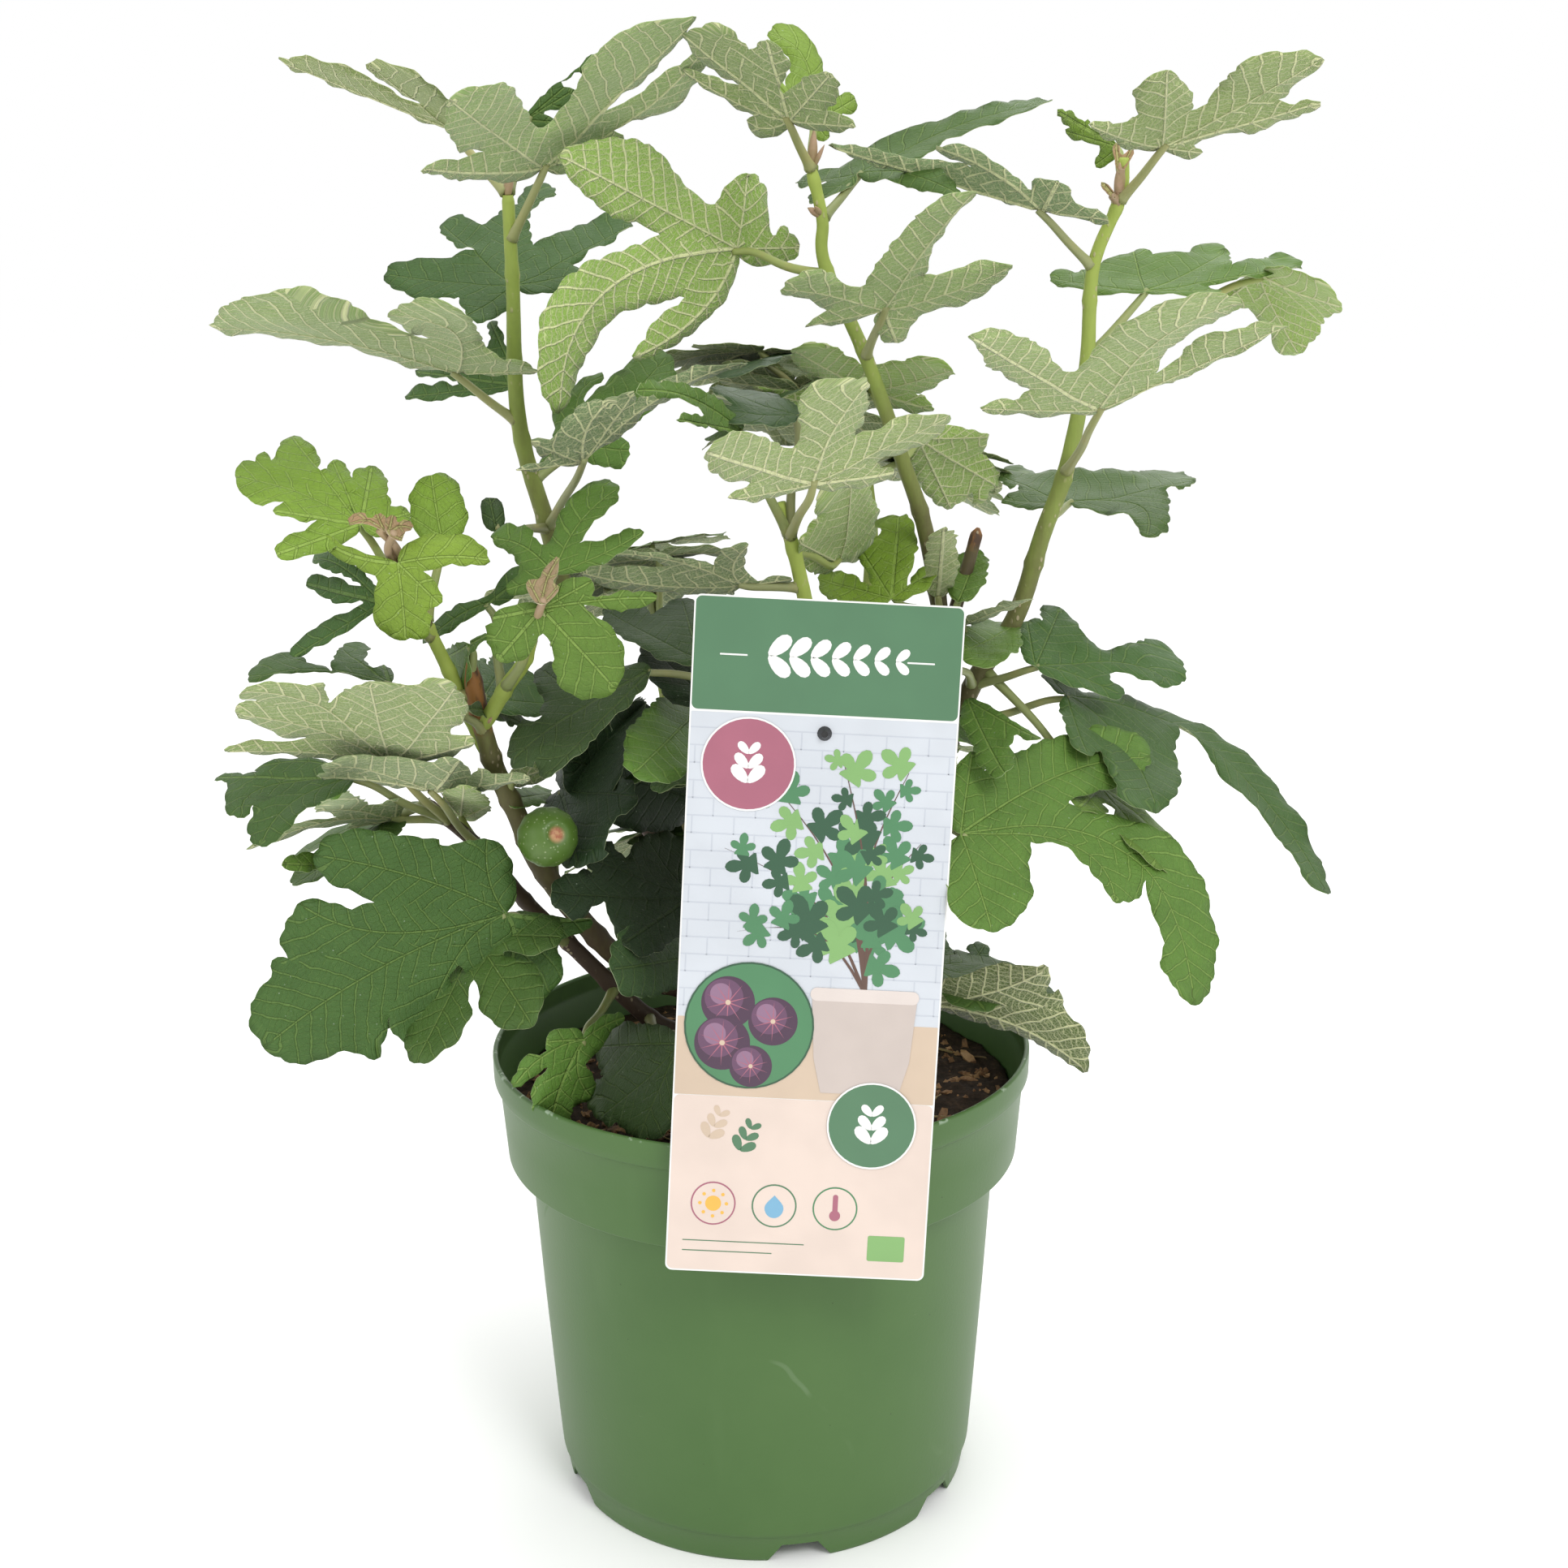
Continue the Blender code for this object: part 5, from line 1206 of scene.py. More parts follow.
    "front_right": ("right_front", "under", "pale", (1354, 504), -0.065, "bough_right_tall", (1319, 580),
                    {-2: (1208, 503, 8, 10), -1: (1195, 414, 22, 30), 0: (1530, 371, 34, 16, 1425, 418),
                     1: (1586, 401, 26, 5)},
                    [(1270, 481), (1325, 458), (1423, 455)]),
    "back_right_dark": ("right_back", "upper", "deep", (1316, 618), 0.030, "bough_right_tall", (1290, 640),
                        {-2: (1235, 616, 10, 9), -1: (1231, 585, 10, 22), 0: (1471, 592, 24, 8),
                         1: (1412, 663, 26, 22, 1400, 618)},
                        [(1257, 599), (1310, 580), (1436, 602)]),
    # right_middle_back and the other light-tinted leaves: painted glow of light through backlit blades
    "right_middle_back": ("middle_right", "under", "light", (1075, 480), 0.030, "bough_middle_tall", (1090, 520),
                          {-1: (930, 478, 25, 8, 1000, 492), 0: (977, 430, 20, 26), 1: (1175, 455, 24, 16),
                           2: (1150, 505, 14, 14)},
                          [(1002, 472), (1068, 450), (1127, 486)]),
    "front_middle_dark": ("middle_front", "upper", "dark", (985, 512), -0.060, "bough_middle_front", (976, 663),
                          {-1: (868, 503, 16, 6), 0: (880, 474, 12, 16)}, [(906, 499)]),
    "front_middle_fold": ("middle_front", "upper", "mid", (915, 532), -0.070, "bough_middle_front", (976, 663),
                          {-1: (833, 517, 3, 8), 0: (780, 482, 8, 12, 850, 490)}, [(872, 513)]),
    "front_middle": ("middle_front", "under", "pale", (1001, 595), -0.095, "bough_middle_front", (976, 663),
                     {-2: (895, 617, 6, 8), -1: (868, 556, 28, 42), 0: (1070, 472, 52, 28, 1024, 530),
                      1: (1172, 512, 22, 22, 1082, 552), 2: (1105, 582, 8, 14)},
                     [(926, 596), (978, 552), (1048, 540), (1079, 571)]),
    "right_middle_hanging": ("middle_right", "under", "light", (1130, 538), 0.020, "bough_middle_tall",
                             (1112, 568),
                             {-1: (1219, 538, 12, 14), 0: (1228, 598, 20, 26), 1: (1172, 627, 24, 20)},
                             [(1216, 560), (1205, 622)]),
    "low_middle_behind": ("middle_low", "under", "light", (1033, 692), 0.0, "bough_middle_front", (975, 680),
                          {-1: (984, 668, 25, 12), 0: (1050, 585, 42, 40)}, [(1004, 642)]),
    "low_middle_bright": ("middle_low", "upper", "bright", (1098, 737), -0.020, "bough_middle_tall",
                          (1150, 760),
                          {-1: (1008, 713, 22, 16), -0.5: (1051, 662, 10, 10), 0: (1107, 634, 30, 28),
                           1: (1152, 700, 10, 14)},
                          [(1076, 725), (1085, 659), (1118, 726)]),
    "low_middle_pale": ("middle_low", "under", "pale", (1155, 735), 0.0, "bough_middle_tall", (1160, 770),
                        {0: (1163, 646, 20, 22)}, []),
    "low_middle_right": ("middle_low", "upper", "mid", (1180, 742), -0.015, "bough_middle_tall", (1165, 780),
                         {0: (1205, 678, 22, 20)}, []),
    "low_right": ("right_low", "upper", "deep", (1276, 820), -0.005, "bough_right_tall", (1209, 853),
                  {-2: (1265, 764, 14, 20), -1: (1306, 750, 24, 28), 0: (1444, 848, 34, 16, 1395, 817),
                   1: (1383, 857, 8, 14, 1320, 828)},
                  [(1281, 757), (1353, 795), (1365, 828)]),
    "hanging_right": ("right_hanging", "upper", "deep", (1314, 856), 0.000, "bough_right_tall", (1186, 890),
                      {-2: (1287, 824, 10, 10), 0: (1636, 1104, 18, 20, 1500, 925),
                       1: (1425, 997, 42, 40, 1385, 908), 2: (1340, 930, 20, 16)},
                      [(1330, 846), (1452, 897), (1372, 960)]),
    "skirt_right": ("right_skirt", "upper", "mid", (1184, 1027), -0.085, "bough_right_tall", (1120, 960),
                    {-2: (1198, 927, 20, 16), -1: (1417, 934, 44, 34, 1310, 952),
                     0: (1472, 1239, 48, 32, 1390, 1050), 0.5: (1374, 1114, 34, 14, 1325, 1042),
                     1: (1222, 1146, 62, 44, 1206, 1085)},
                    [(1216, 946), (1320, 987), (1424, 1138), (1269, 1036)]),
    "pot_right": ("right_pot", "under", "shade", (1130, 1236), -0.030, "bough_right_tall", (1050, 1130),
                  {-1: (1290, 1194, 28, 22, 1215, 1222), 0: (1338, 1319, 40, 11, 1246, 1260)},
                  [(1301, 1221)]),
    "pot_right_upper": ("right_pot", "upper", "deep", (1140, 1215), -0.010, "bough_right_tall", (1050, 1130),
                        {-1: (1152, 1142, 20, 20), 0: (1214, 1162, 14, 18, 1188, 1192)}, [(1189, 1180)]),
    "inner_right_curled": ("inner_right", "upper", "mid", (1192, 862), -0.020, "bough_right_tall", (1190, 880),
                           {-1: (1282, 911, 6, 8, 1245, 893), 0: (1238, 954, 20, 20, 1215, 912)},
                           [(1252, 905)]),
    "inner_right_high": ("inner_right", "upper", "mid", (1180, 805), -0.035, "bough_right_tall", (1200, 850),
                         {0: (1253, 768, 26, 34)}, []),
    "inner_right_thin": ("inner_right", "under", "grey", (1184, 769), -0.010, "bough_right_tall", (1210, 820),
                         {0: (1270, 736, 6, 6, 1225, 752)}, []),
}

# Stalk colours by their leaf's tint; like the leaves, the darker ones carry painted shade, black most of all.
STALK_COLORS = {"bright": (0.26, 0.32, 0.10), "mid": (0.25, 0.29, 0.11), "deep": (0.22, 0.25, 0.10),
                "dark": (0.20, 0.21, 0.09), "grey": (0.27, 0.29, 0.13), "light": (0.28, 0.33, 0.10),
                "pale": (0.30, 0.31, 0.13), "shade": (0.22, 0.24, 0.09), "black": (0.14, 0.15, 0.06), "young": (0.34, 0.24, 0.15)}
STALK_RADIUS = 0.0015


def stalk(foot, along, limb_radius, leaf, tint):
    """A leaf stalk from its limb's skin, bent up or out, to the leaf's junction under the blade."""
    end = leaf.junction - leaf.normal * 0.0006 + leaf.forward * 0.002
    start = foot + (end - foot).normalized() * limb_radius * 0.6
    span = (end - start).length
    level = (end - start).normalized()
    arrive = end - (level * 0.75 + leaf.forward * 0.25 + leaf.normal * 0.10).normalized() * span * 0.22
    points = [start, start.lerp(end, 0.40) - Vector((0, 0, 1)) * span * 0.03 + along * span * 0.02, arrive, end]
    path = smooth_path(points, 7)
    radii = []
    for i in range(len(path)):
        share = i / (len(path) - 1)
        radii.append(STALK_RADIUS * (1.25 - 0.35 * share + 0.55 * math.exp(-share * 14)))
    color = STALK_COLORS[tint]
    return tube(path, radii, 10, {"stalk_color": np.tile(color, (len(path), 1))})


def seen_leaf(entry, number):
    """A leaf that the picture shows, cut so that its outline is seen where the table puts it."""
    mass, side, tint, at, depth, limb, foot_at, lobes, notches = entry
    under = side == "under"
    turn = -1 if under else 1
    tips = {turn * slot: lobe[:2] for slot, lobe in lobes.items()}
    junction = spot(*at, depth)
    foot, along, radius = on_limb(limb, *foot_at)
    rng = random.Random(SEED + number)
    low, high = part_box("foliage_" + mass)
    if tint == "young":
        normal = (CAMERA_PLACE - junction).normalized() + Vector((0, 0, 0.5))
        forward = spot(*lobes[0][:2], depth) - junction
        size = forward.length
        leaf = Leaf(junction, forward, normal, size, tinted(tint, rng), rng, droop=0.2, fold=0.6, wave=2.0)
    else:
        normal, forward, size = leaf_plane(junction, tips, under, foot, DROOP, low, high)
        leaf = Leaf(junction, forward, normal, size, tinted(tint, rng), rng, droop=DROOP / size)
    pairs = []
    for tip_u, tip_v, before, after, *via in lobes.values():
        pairs.append((np.array([tip_u, tip_v]), before, after, np.array(via) if via else None))
    outline, axes = lobed_outline(np.array(at), pairs, [np.array(notch) for notch in notches],
                                  1.7 if under else 2.3)
    leaf.cut(leaf.under_pixels(outline), [leaf.under_pixels(axis) for axis in axes])
    return mass, leaf, stalk(foot, along, radius, leaf, tint)


# Masses out of the camera's sight, each filled by its own limb: how many leaves
HIDDEN_MASSES = {
    "back_left": ("bough_back_left", 6), "back_right": ("bough_back_right", 6), "back_top": ("bough_back_right", 5),
    "back_low": ("bough_back_right", 5), "back_skirt": ("bough_back_left", 5), "inner_left": ("bough_back_left", 2),
    "inner_front": ("bough_middle_front", 2), "inner_right": ("bough_right_tall", 1),
    "left_skirt": ("bough_left_low", 1), "right_hanging": ("bough_right_tall", 1), "right_pot": ("bough_right_tall", 1),
    "left_hanging": ("bough_left_low", 1),
}


def natural_lobes(size, rng):
    """A five-lobed leaf's outline and veins in its own plane, as the seeded draw makes it."""
    pairs, notches = [], []
    angles = {slot: math.radians(angle + rng.uniform(-6, 6)) for slot, angle in LOBE_ANGLES.items()}
    lengths = {slot: share * size * rng.uniform(0.93, 1.06) for slot, share in LOBE_LENGTHS.items()}
    breadth = BREADTH * rng.uniform(0.9, 1.1)
    for slot in range(-2, 3):
        tip = np.array([math.sin(angles[slot]), -math.cos(angles[slot])]) * lengths[slot]
        via = tip / 2 + np.array([-tip[1], tip[0]]) * rng.uniform(-0.06, 0.06)
        wide = breadth * lengths[slot]
        outer = 1.25 if abs(slot) == 2 else 1.0
        pairs.append((tip, wide * (outer if slot == -2 else 1), wide * (outer if slot == 2 else 1), via))
    for slot in range(-2, 2):
        middle = (angles[slot] + angles[slot + 1]) / 2
        reach = NOTCH * rng.uniform(0.85, 1.15) * min(lengths[slot], lengths[slot + 1])
        notches.append(np.array([math.sin(middle), -math.cos(middle)]) * reach)
    outline, axes = lobed_outline(np.zeros(2), pairs, notches)
    flip = np.array([1, -1])
    return outline * flip, [axis * flip for axis in axes]


def grown_leaf(mass, limb, number, count):
    """A leaf inside a mass' box, on a stalk from the nearest place of its limb, its blade turned outwards."""
    low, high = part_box("foliage_" + mass)
    rng = random.Random(SEED * 31 + number * 7 + sum(map(ord, mass)))
    centre = (low + high) / 2
    half = (high - low) / 2
    path, _, radii = AXES[limb]
    turn = 2.4 * number + rng.uniform(-0.3, 0.3)
    spread = 0.42 if count > 1 else 0.0
    aim = centre + Vector((half.x * math.cos(turn), half.y * math.sin(turn), half.z * rng.uniform(-0.5, 0.8))) * spread
    index = min(range(len(path)), key=lambda i: (path[i] - aim).length)
    foot = path[index]
    along = (path[min(index + 1, len(path) - 1)] - path[max(index - 1, 0)]).normalized()
    outward = Vector((aim.x - foot.x, aim.y - foot.y, 0))
    radial = Vector((centre.x, centre.y, 0))
    outward = outward.normalized() * 0.5 + radial.normalized() + Vector((math.cos(turn), math.sin(turn), 0)) * 0.55
    outward.normalize()
    size = min(0.098, max(0.055, 0.95 * max(half.x, half.y))) * rng.uniform(0.9, 1.08)
    junction = aim - outward * size * 0.42
    if (junction - foot).length < 0.02:
        junction = foot + outward * 0.024 + Vector((0, 0, 0.008))
    slope = rng.uniform(0.10, 0.50)
    forward = (outward - Vector((0, 0, 1)) * slope).normalized()
    normal = Vector((0, 0, 1)) + outward * slope + Vector((rng.uniform(-0.25, 0.25), rng.uniform(-0.25, 0.25), 0))
    # Mostly darker tints, which carry painted shade for leaves inside the plant besides their own green.
    tint = rng.choice(["deep", "deep", "mid", "dark", "mid"])
    leaf = Leaf(junction, forward, normal, size, tinted(tint, rng), rng,
                droop=rng.uniform(0.10, 0.24), fold=rng.uniform(0.04, 0.16))
    leaf.cut(*natural_lobes(size, rng))
    return leaf, stalk(foot, along, radii[index], leaf, tint)


# Buds and sheaths at the shoots' tips: limb, foot and tip pixel, depth of the tip, radius
BUDS = [
    ("bough_middle_tall", (1003, 207), (1003, 158), -0.013, 0.0017),
    ("bough_middle_tall", (1004, 205), (1016, 178), -0.016, 0.0009),
    ("bough_middle_tall", (1003, 268), (995, 256), -0.014, 0.0014),
    ("bough_middle_tall", (1006, 268), (1004, 254), -0.016, 0.0010),
    ("bough_right_tall", (1377, 248), (1380, 200), -0.007, 0.0019),
    ("bough_left_tall", (627, 232), (629, 205), -0.006, 0.0016),
    ("shoot_left_outer", (525, 772), (487, 690), -0.080, 0.0024),
    ("shoot_left_outer", (500, 712), (474, 652), -0.106, 0.0014),
    ("shoot_left_front", (655, 792), (667, 742), -0.110, 0.0016),
    ("bough_left_pruned", (598, 893), (606, 884), -0.060, 0.0012),
]


def make_buds():
    """Pointed buds, each a swollen cone that grows from its limb's skin."""
    parts = []
    tips = []
    for limb, foot_at, tip_at, depth, radius in BUDS:
        foot, _, _ = on_limb(limb, *foot_at)
        for made, end in tips:
            if made == limb and (pixel(end) - Vector(foot_at)).length < 30 < (pixel(foot) - Vector(foot_at)).length:
                foot = end
        tip = spot(*tip_at, depth)
        tips.append((limb, tip))
        path = smooth_path([foot, foot.lerp(tip, 0.5), tip], 7)
        radii = []
        for i in range(len(path)):
            share = i / (len(path) - 1)
            radii.append(radius * (0.80 + 0.35 * math.sin(math.pi * share)) * (1 - 0.9 * share ** 4))
        parts.append(tube(path, radii, 12, {}))
    add_piece("buds", joined_mesh("buds", parts, [YOUNG]), "green_wood")


def make_leaves():
    """Every mass' leaves as one piece in its place, and all stalks as another piece."""
    masses, stalks = {}, []
    for number, entry in enumerate(SEEN_LEAVES.values()):
        mass, leaf, stem = seen_leaf(entry, number)
        masses.setdefault(mass, []).append(leaf)
        stalks.append(stem)
    for mass, (limb, count) in HIDDEN_MASSES.items():
        for number in range(count):
            leaf, stem = grown_leaf(mass, limb, number, count)
            masses.setdefault(mass, []).append(leaf)
            stalks.append(stem)
    for mass, leaves in masses.items():
        parts = [leaf.part(2 * i, 2 * len(leaves)) for i, leaf in enumerate(leaves)]
        mesh = joined_mesh("leaves_" + mass, parts, [LEAF_UPPER, LEAF_UNDER, LEAF_RIM])
        add_piece("leaves_" + mass, mesh, "foliage", "foliage_" + mass)
    add_piece("leaf_stalks", joined_mesh("leaf_stalks", stalks, [PETIOLE]), "green_wood")


# Fruit

FRUIT_AT = (675, 1031)
FRUIT_DEPTH = -0.062
FRUIT_RADIUS = 0.0118


def make_fruit():
    """One unripe fig: a short pear shape with faint ribs, a pink eye and its stalk."""
    centre = spot(*FRUIT_AT, FRUIT_DEPTH)
    foot, _, radius = on_limb("bough_left_pruned", 648, 1020)
    eye = Vector((0.36, -0.66, 0.26)).normalized()
    side = eye.orthogonal().normalized()
    other = eye.cross(side)
    rings, sides = 26, 40
    points, faces, uvs = [], [], []
    for i in range(rings + 1):
        share = i / rings
        turn = math.pi * share
        width = math.sin(turn) ** 0.92
        height = -math.cos(turn)
        if height < 0:
            width *= 1 - 0.16 * height ** 2
            height *= 1.16
        else:
            height *= 0.93 - 0.10 * (height > 0.96)
        for k in range(sides):
            angle = math.tau * k / sides
            rib = 1 + 0.018 * math.cos(12 * angle) * math.sin(turn)
            place = (side * math.cos(angle) + other * math.sin(angle)) * width * rib + eye * height
            points.append(centre + place * FRUIT_RADIUS)
    for i in range(rings):
        for k in range(sides):
            n = (k + 1) % sides
            faces.append((i * sides + k, i * sides + n, (i + 1) * sides + n, (i + 1) * sides + k))
            for corner, row in ((k, i), (k + 1, i), (k + 1, i + 1), (k, i + 1)):
                uvs.append((corner / sides, row / rings))
    body = {"points": points, "faces": faces, "materials": [0] * len(faces), "values": {}, "uvs": {"fruit": uvs}}
    mesh = joined_mesh("fig_fruit", [body], [FRUIT])
    bm = bmesh.new()
    bm.from_mesh(mesh)
    bmesh.ops.remove_doubles(bm, verts=bm.verts, dist=0.00001)
    bmesh.ops.recalc_face_normals(bm, faces=bm.faces)
    bm.to_mesh(mesh)
    bm.free()
    add_piece("fig_fruit", mesh, "green_wood")
    neck = centre - eye * FRUIT_RADIUS * 1.1
    path = smooth_path([foot, foot.lerp(neck, 0.5) + Vector((0, 0, 0.0012)), neck + eye * 0.002], 6)
    stem = tube(path, [0.0022 - 0.0004 * i / len(path) for i in range(len(path))], 12,
                {"stalk_color": np.tile((0.17, 0.21, 0.06), (len(path), 1))})
    add_piece("fig_fruit_stalk", joined_mesh("fig_fruit_stalk", [stem], [PETIOLE]), "green_wood")


# Pot

POT_STEPS = 160
RIM_RADIUS = 0.1147
POT_HEIGHT = 0.1972
WALL = 0.0016
NOTCH_ANGLES = [pair + side for pair in (-80.5, 39.5, 159.5) for side in (0.0, 46.0)]


def arc(centre, radius, start, end, steps):
    """Points of (radius, height) on an arc in the profile, by angles in degrees."""
    turns = [math.radians(start + (end - start) * i / steps) for i in range(steps + 1)]
    return [(centre[0] + radius * math.cos(t), centre[1] + radius * math.sin(t)) for t in turns]


def make_pot():
    """The pot's shell as one turned profile, from the floor's middle up the inside and down the outside."""
    lip = 0.0011
    outside = arc((RIM_RADIUS - lip, POT_HEIGHT - lip), lip, 90, 0, 6)
    inside = arc((RIM_RADIUS - lip, POT_HEIGHT - lip), lip, 180, 90, 6)
    profile = [(0.0, 0.0106), (0.040, 0.0106), (0.0855, 0.0106), (0.0892, 0.0118), (0.0899, 0.0150),
               (0.0936, 0.080), (0.0989, 0.1490), (0.0995, 0.1520), (0.1015, 0.1526), (0.1075, 0.1527),
               (0.1082, 0.1536), (0.1084, 0.1560), (0.1108, 0.1862), (0.1120, 0.1880), (0.1124, 0.1900)]
    profile += inside + outside[1:]
    profile += [(0.11465, 0.1900), (0.11455, 0.1868), (0.1141, 0.1860), (0.1128, 0.1857), (0.1124, 0.1850),
                (0.1111, 0.1690)]
    profile += arc((0.1088, 0.1520), 0.0010, 0, -90, 5)
    profile += [(0.1020, 0.1509), (0.1008, 0.1504), (0.1004, 0.1490), (0.0968, 0.090), (0.0930, 0.035),
                (0.0915, 0.0150), (0.0913, 0.0130), (0.0908, 0.0126), (0.0903, 0.0120)]
    profile += [(0.0890, 0.0035), (0.0886, 0.0012), (0.0882, 0.0002), (0.0876, 0.0), (0.0871, 0.0003),
                (0.0870, 0.0012), (0.0878, 0.0085), (0.0868, 0.0090), (0.040, 0.0090), (0.0, 0.0090)]
    bm = bmesh.new()
    rings = []
    for radius, height in profile:
        if radius == 0.0:
            rings.append([bm.verts.new((0, 0, height))])
            continue
        ring = []
        for i in range(POT_STEPS):
            turn = math.tau * i / POT_STEPS
            ring.append(bm.verts.new((radius * math.cos(turn), radius * math.sin(turn), height)))
        rings.append(ring)
    for low, high in zip(rings, rings[1:]):
        for i in range(POT_STEPS):
            n = (i + 1) % POT_STEPS
            corners = [low[i % len(low)], low[n % len(low)], high[n % len(high)], high[i % len(high)]]
            bm.faces.new(dict.fromkeys(corners))
    bmesh.ops.recalc_face_normals(bm, faces=bm.faces)
    mesh = bpy.data.meshes.new("pot_shell")
    bm.to_mesh(mesh)
    bm.free()
    mesh.materials.append(POT)
    pot = bpy.data.objects.new("pot_shell_cut", mesh)
    bpy.context.scene.collection.objects.link(pot)
    cutters = [foot_notches(), drain_holes()]
    for tool in cutters:
        change = pot.modifiers.new("cut", "BOOLEAN")
        change.operation = "DIFFERENCE"
        change.solver = "EXACT"
        change.object = tool
    seen = pot.evaluated_get(bpy.context.evaluated_depsgraph_get())
    cut_mesh = bpy.data.meshes.new_from_object(seen)
    for old in [pot, *cutters]:
        bpy.data.objects.remove(old)
    cut_mesh.name = "pot_shell"
    cut_mesh.shade_smooth()
    cut_mesh.set_sharp_from_angle(angle=math.radians(50))
    add_piece("pot_shell", cut_mesh, "pot_green", "pot")


def cutter_object(name, bm):
    mesh = bpy.data.meshes.new(name)
    bm.to_mesh(mesh)
    bm.free()
    made = bpy.data.objects.new(name, mesh)
    bpy.context.scene.collection.objects.link(made)
    return made


def foot_notches():
    bm = bmesh.new()
    for angle in NOTCH_ANGLES:
        place = Matrix.Rotation(math.radians(angle), 4, "Z") @ Matrix.Translation((0.0886, 0, 0.00315))
        made = bmesh.ops.create_cone(
            bm, cap_ends=True, segments=4, depth=0.0103, radius1=0.0299 * math.sqrt(0.5),
            radius2=0.015 * math.sqrt(0.5),
            matrix=place @ Matrix.Scale(0.55, 4, (1, 0, 0)) @ Matrix.Rotation(math.radians(45), 4, "Z"))
        bmesh.ops.recalc_face_normals(bm, faces=list({f for v in made["verts"] for f in v.link_faces}))
    return cutter_object("notches", bm)


def drain_holes():
    bm = bmesh.new()
    places = [Vector((0, 0, 0.0098))]
    for angle in NOTCH_ANGLES:
        turn = math.radians(angle)
        places.append(Vector((0.062 * math.cos(turn), 0.062 * math.sin(turn), 0.0098)))
    for place in places:
        bmesh.ops.create_cone(bm, cap_ends=True, segments=24, radius1=0.005, radius2=0.005, depth=0.012,
                              matrix=Matrix.Translation(place))
    return cutter_object("drains", bm)


# Soil

SOIL_TOP = 0.1772
SOIL_RINGS = 60
SOIL_STEPS = 150
SOIL_RADIUS = 0.1088


def soil_height(x, y):
    place = Vector((x, y, 0))
    fall = 0.004 * smoothstep(math.hypot(x, y) / SOIL_RADIUS)
    return (SOIL_TOP - fall + 0.0030 * noise.noise(place * 40) + 0.0018 * noise.noise(place * 120)
            + 0.0010 * noise.noise(place * 420))


def make_soil():
    """The top of the potting mix, crumbled, with sides down to the pot's floor, in place of the root ball's own solid.
    """
    points, faces = [(0.0, 0.0, soil_height(0, 0))], []
    for ring in range(1, SOIL_RINGS + 1):
        radius = SOIL_RADIUS * ring / SOIL_RINGS
        for k in range(SOIL_STEPS):
            turn = math.tau * k / SOIL_STEPS
            x, y = radius * math.cos(turn), radius * math.sin(turn)
            points.append((x, y, soil_height(x, y)))
    for k in range(SOIL_STEPS):
        faces.append((0, 1 + k, 1 + (k + 1) % SOIL_STEPS))
    for ring in range(SOIL_RINGS - 1):
        for k in range(SOIL_STEPS):
            a, b = 1 + ring * SOIL_STEPS + k, 1 + ring * SOIL_STEPS + (k + 1) % SOIL_STEPS
            faces.append((a, a + SOIL_STEPS, b + SOIL_STEPS, b))
    outline = [1 + (SOIL_RINGS - 1) * SOIL_STEPS + k for k in range(SOIL_STEPS)]
    below = []
    for radius, height in ((0.1078, 0.1545), (0.0984, 0.1515), (0.0892, 0.0125), (0.086, 0.0110)):
        ring = []
        for k in range(SOIL_STEPS):
            turn = math.tau * k / SOIL_STEPS
            ring.append(len(points))
            points.append((radius * math.cos(turn), radius * math.sin(turn), height))
        below.append(ring)
    for upper, lower in zip([outline] + below, below):
        for k in range(SOIL_STEPS):
            n = (k + 1) % SOIL_STEPS
            faces.append((upper[k], lower[k], lower[n], upper[n]))
    faces.append(tuple(below[-1]))
    part = {"points": points, "faces": faces, "materials": [0] * len(faces), "values": {}}
    mesh = joined_mesh("soil", [part], [SOIL])
    bm = bmesh.new()
    bm.from_mesh(mesh)
    bmesh.ops.recalc_face_normals(bm, faces=bm.faces)
    bm.to_mesh(mesh)
    bm.free()
    return add_piece("soil", mesh, "soil", "root_ball")


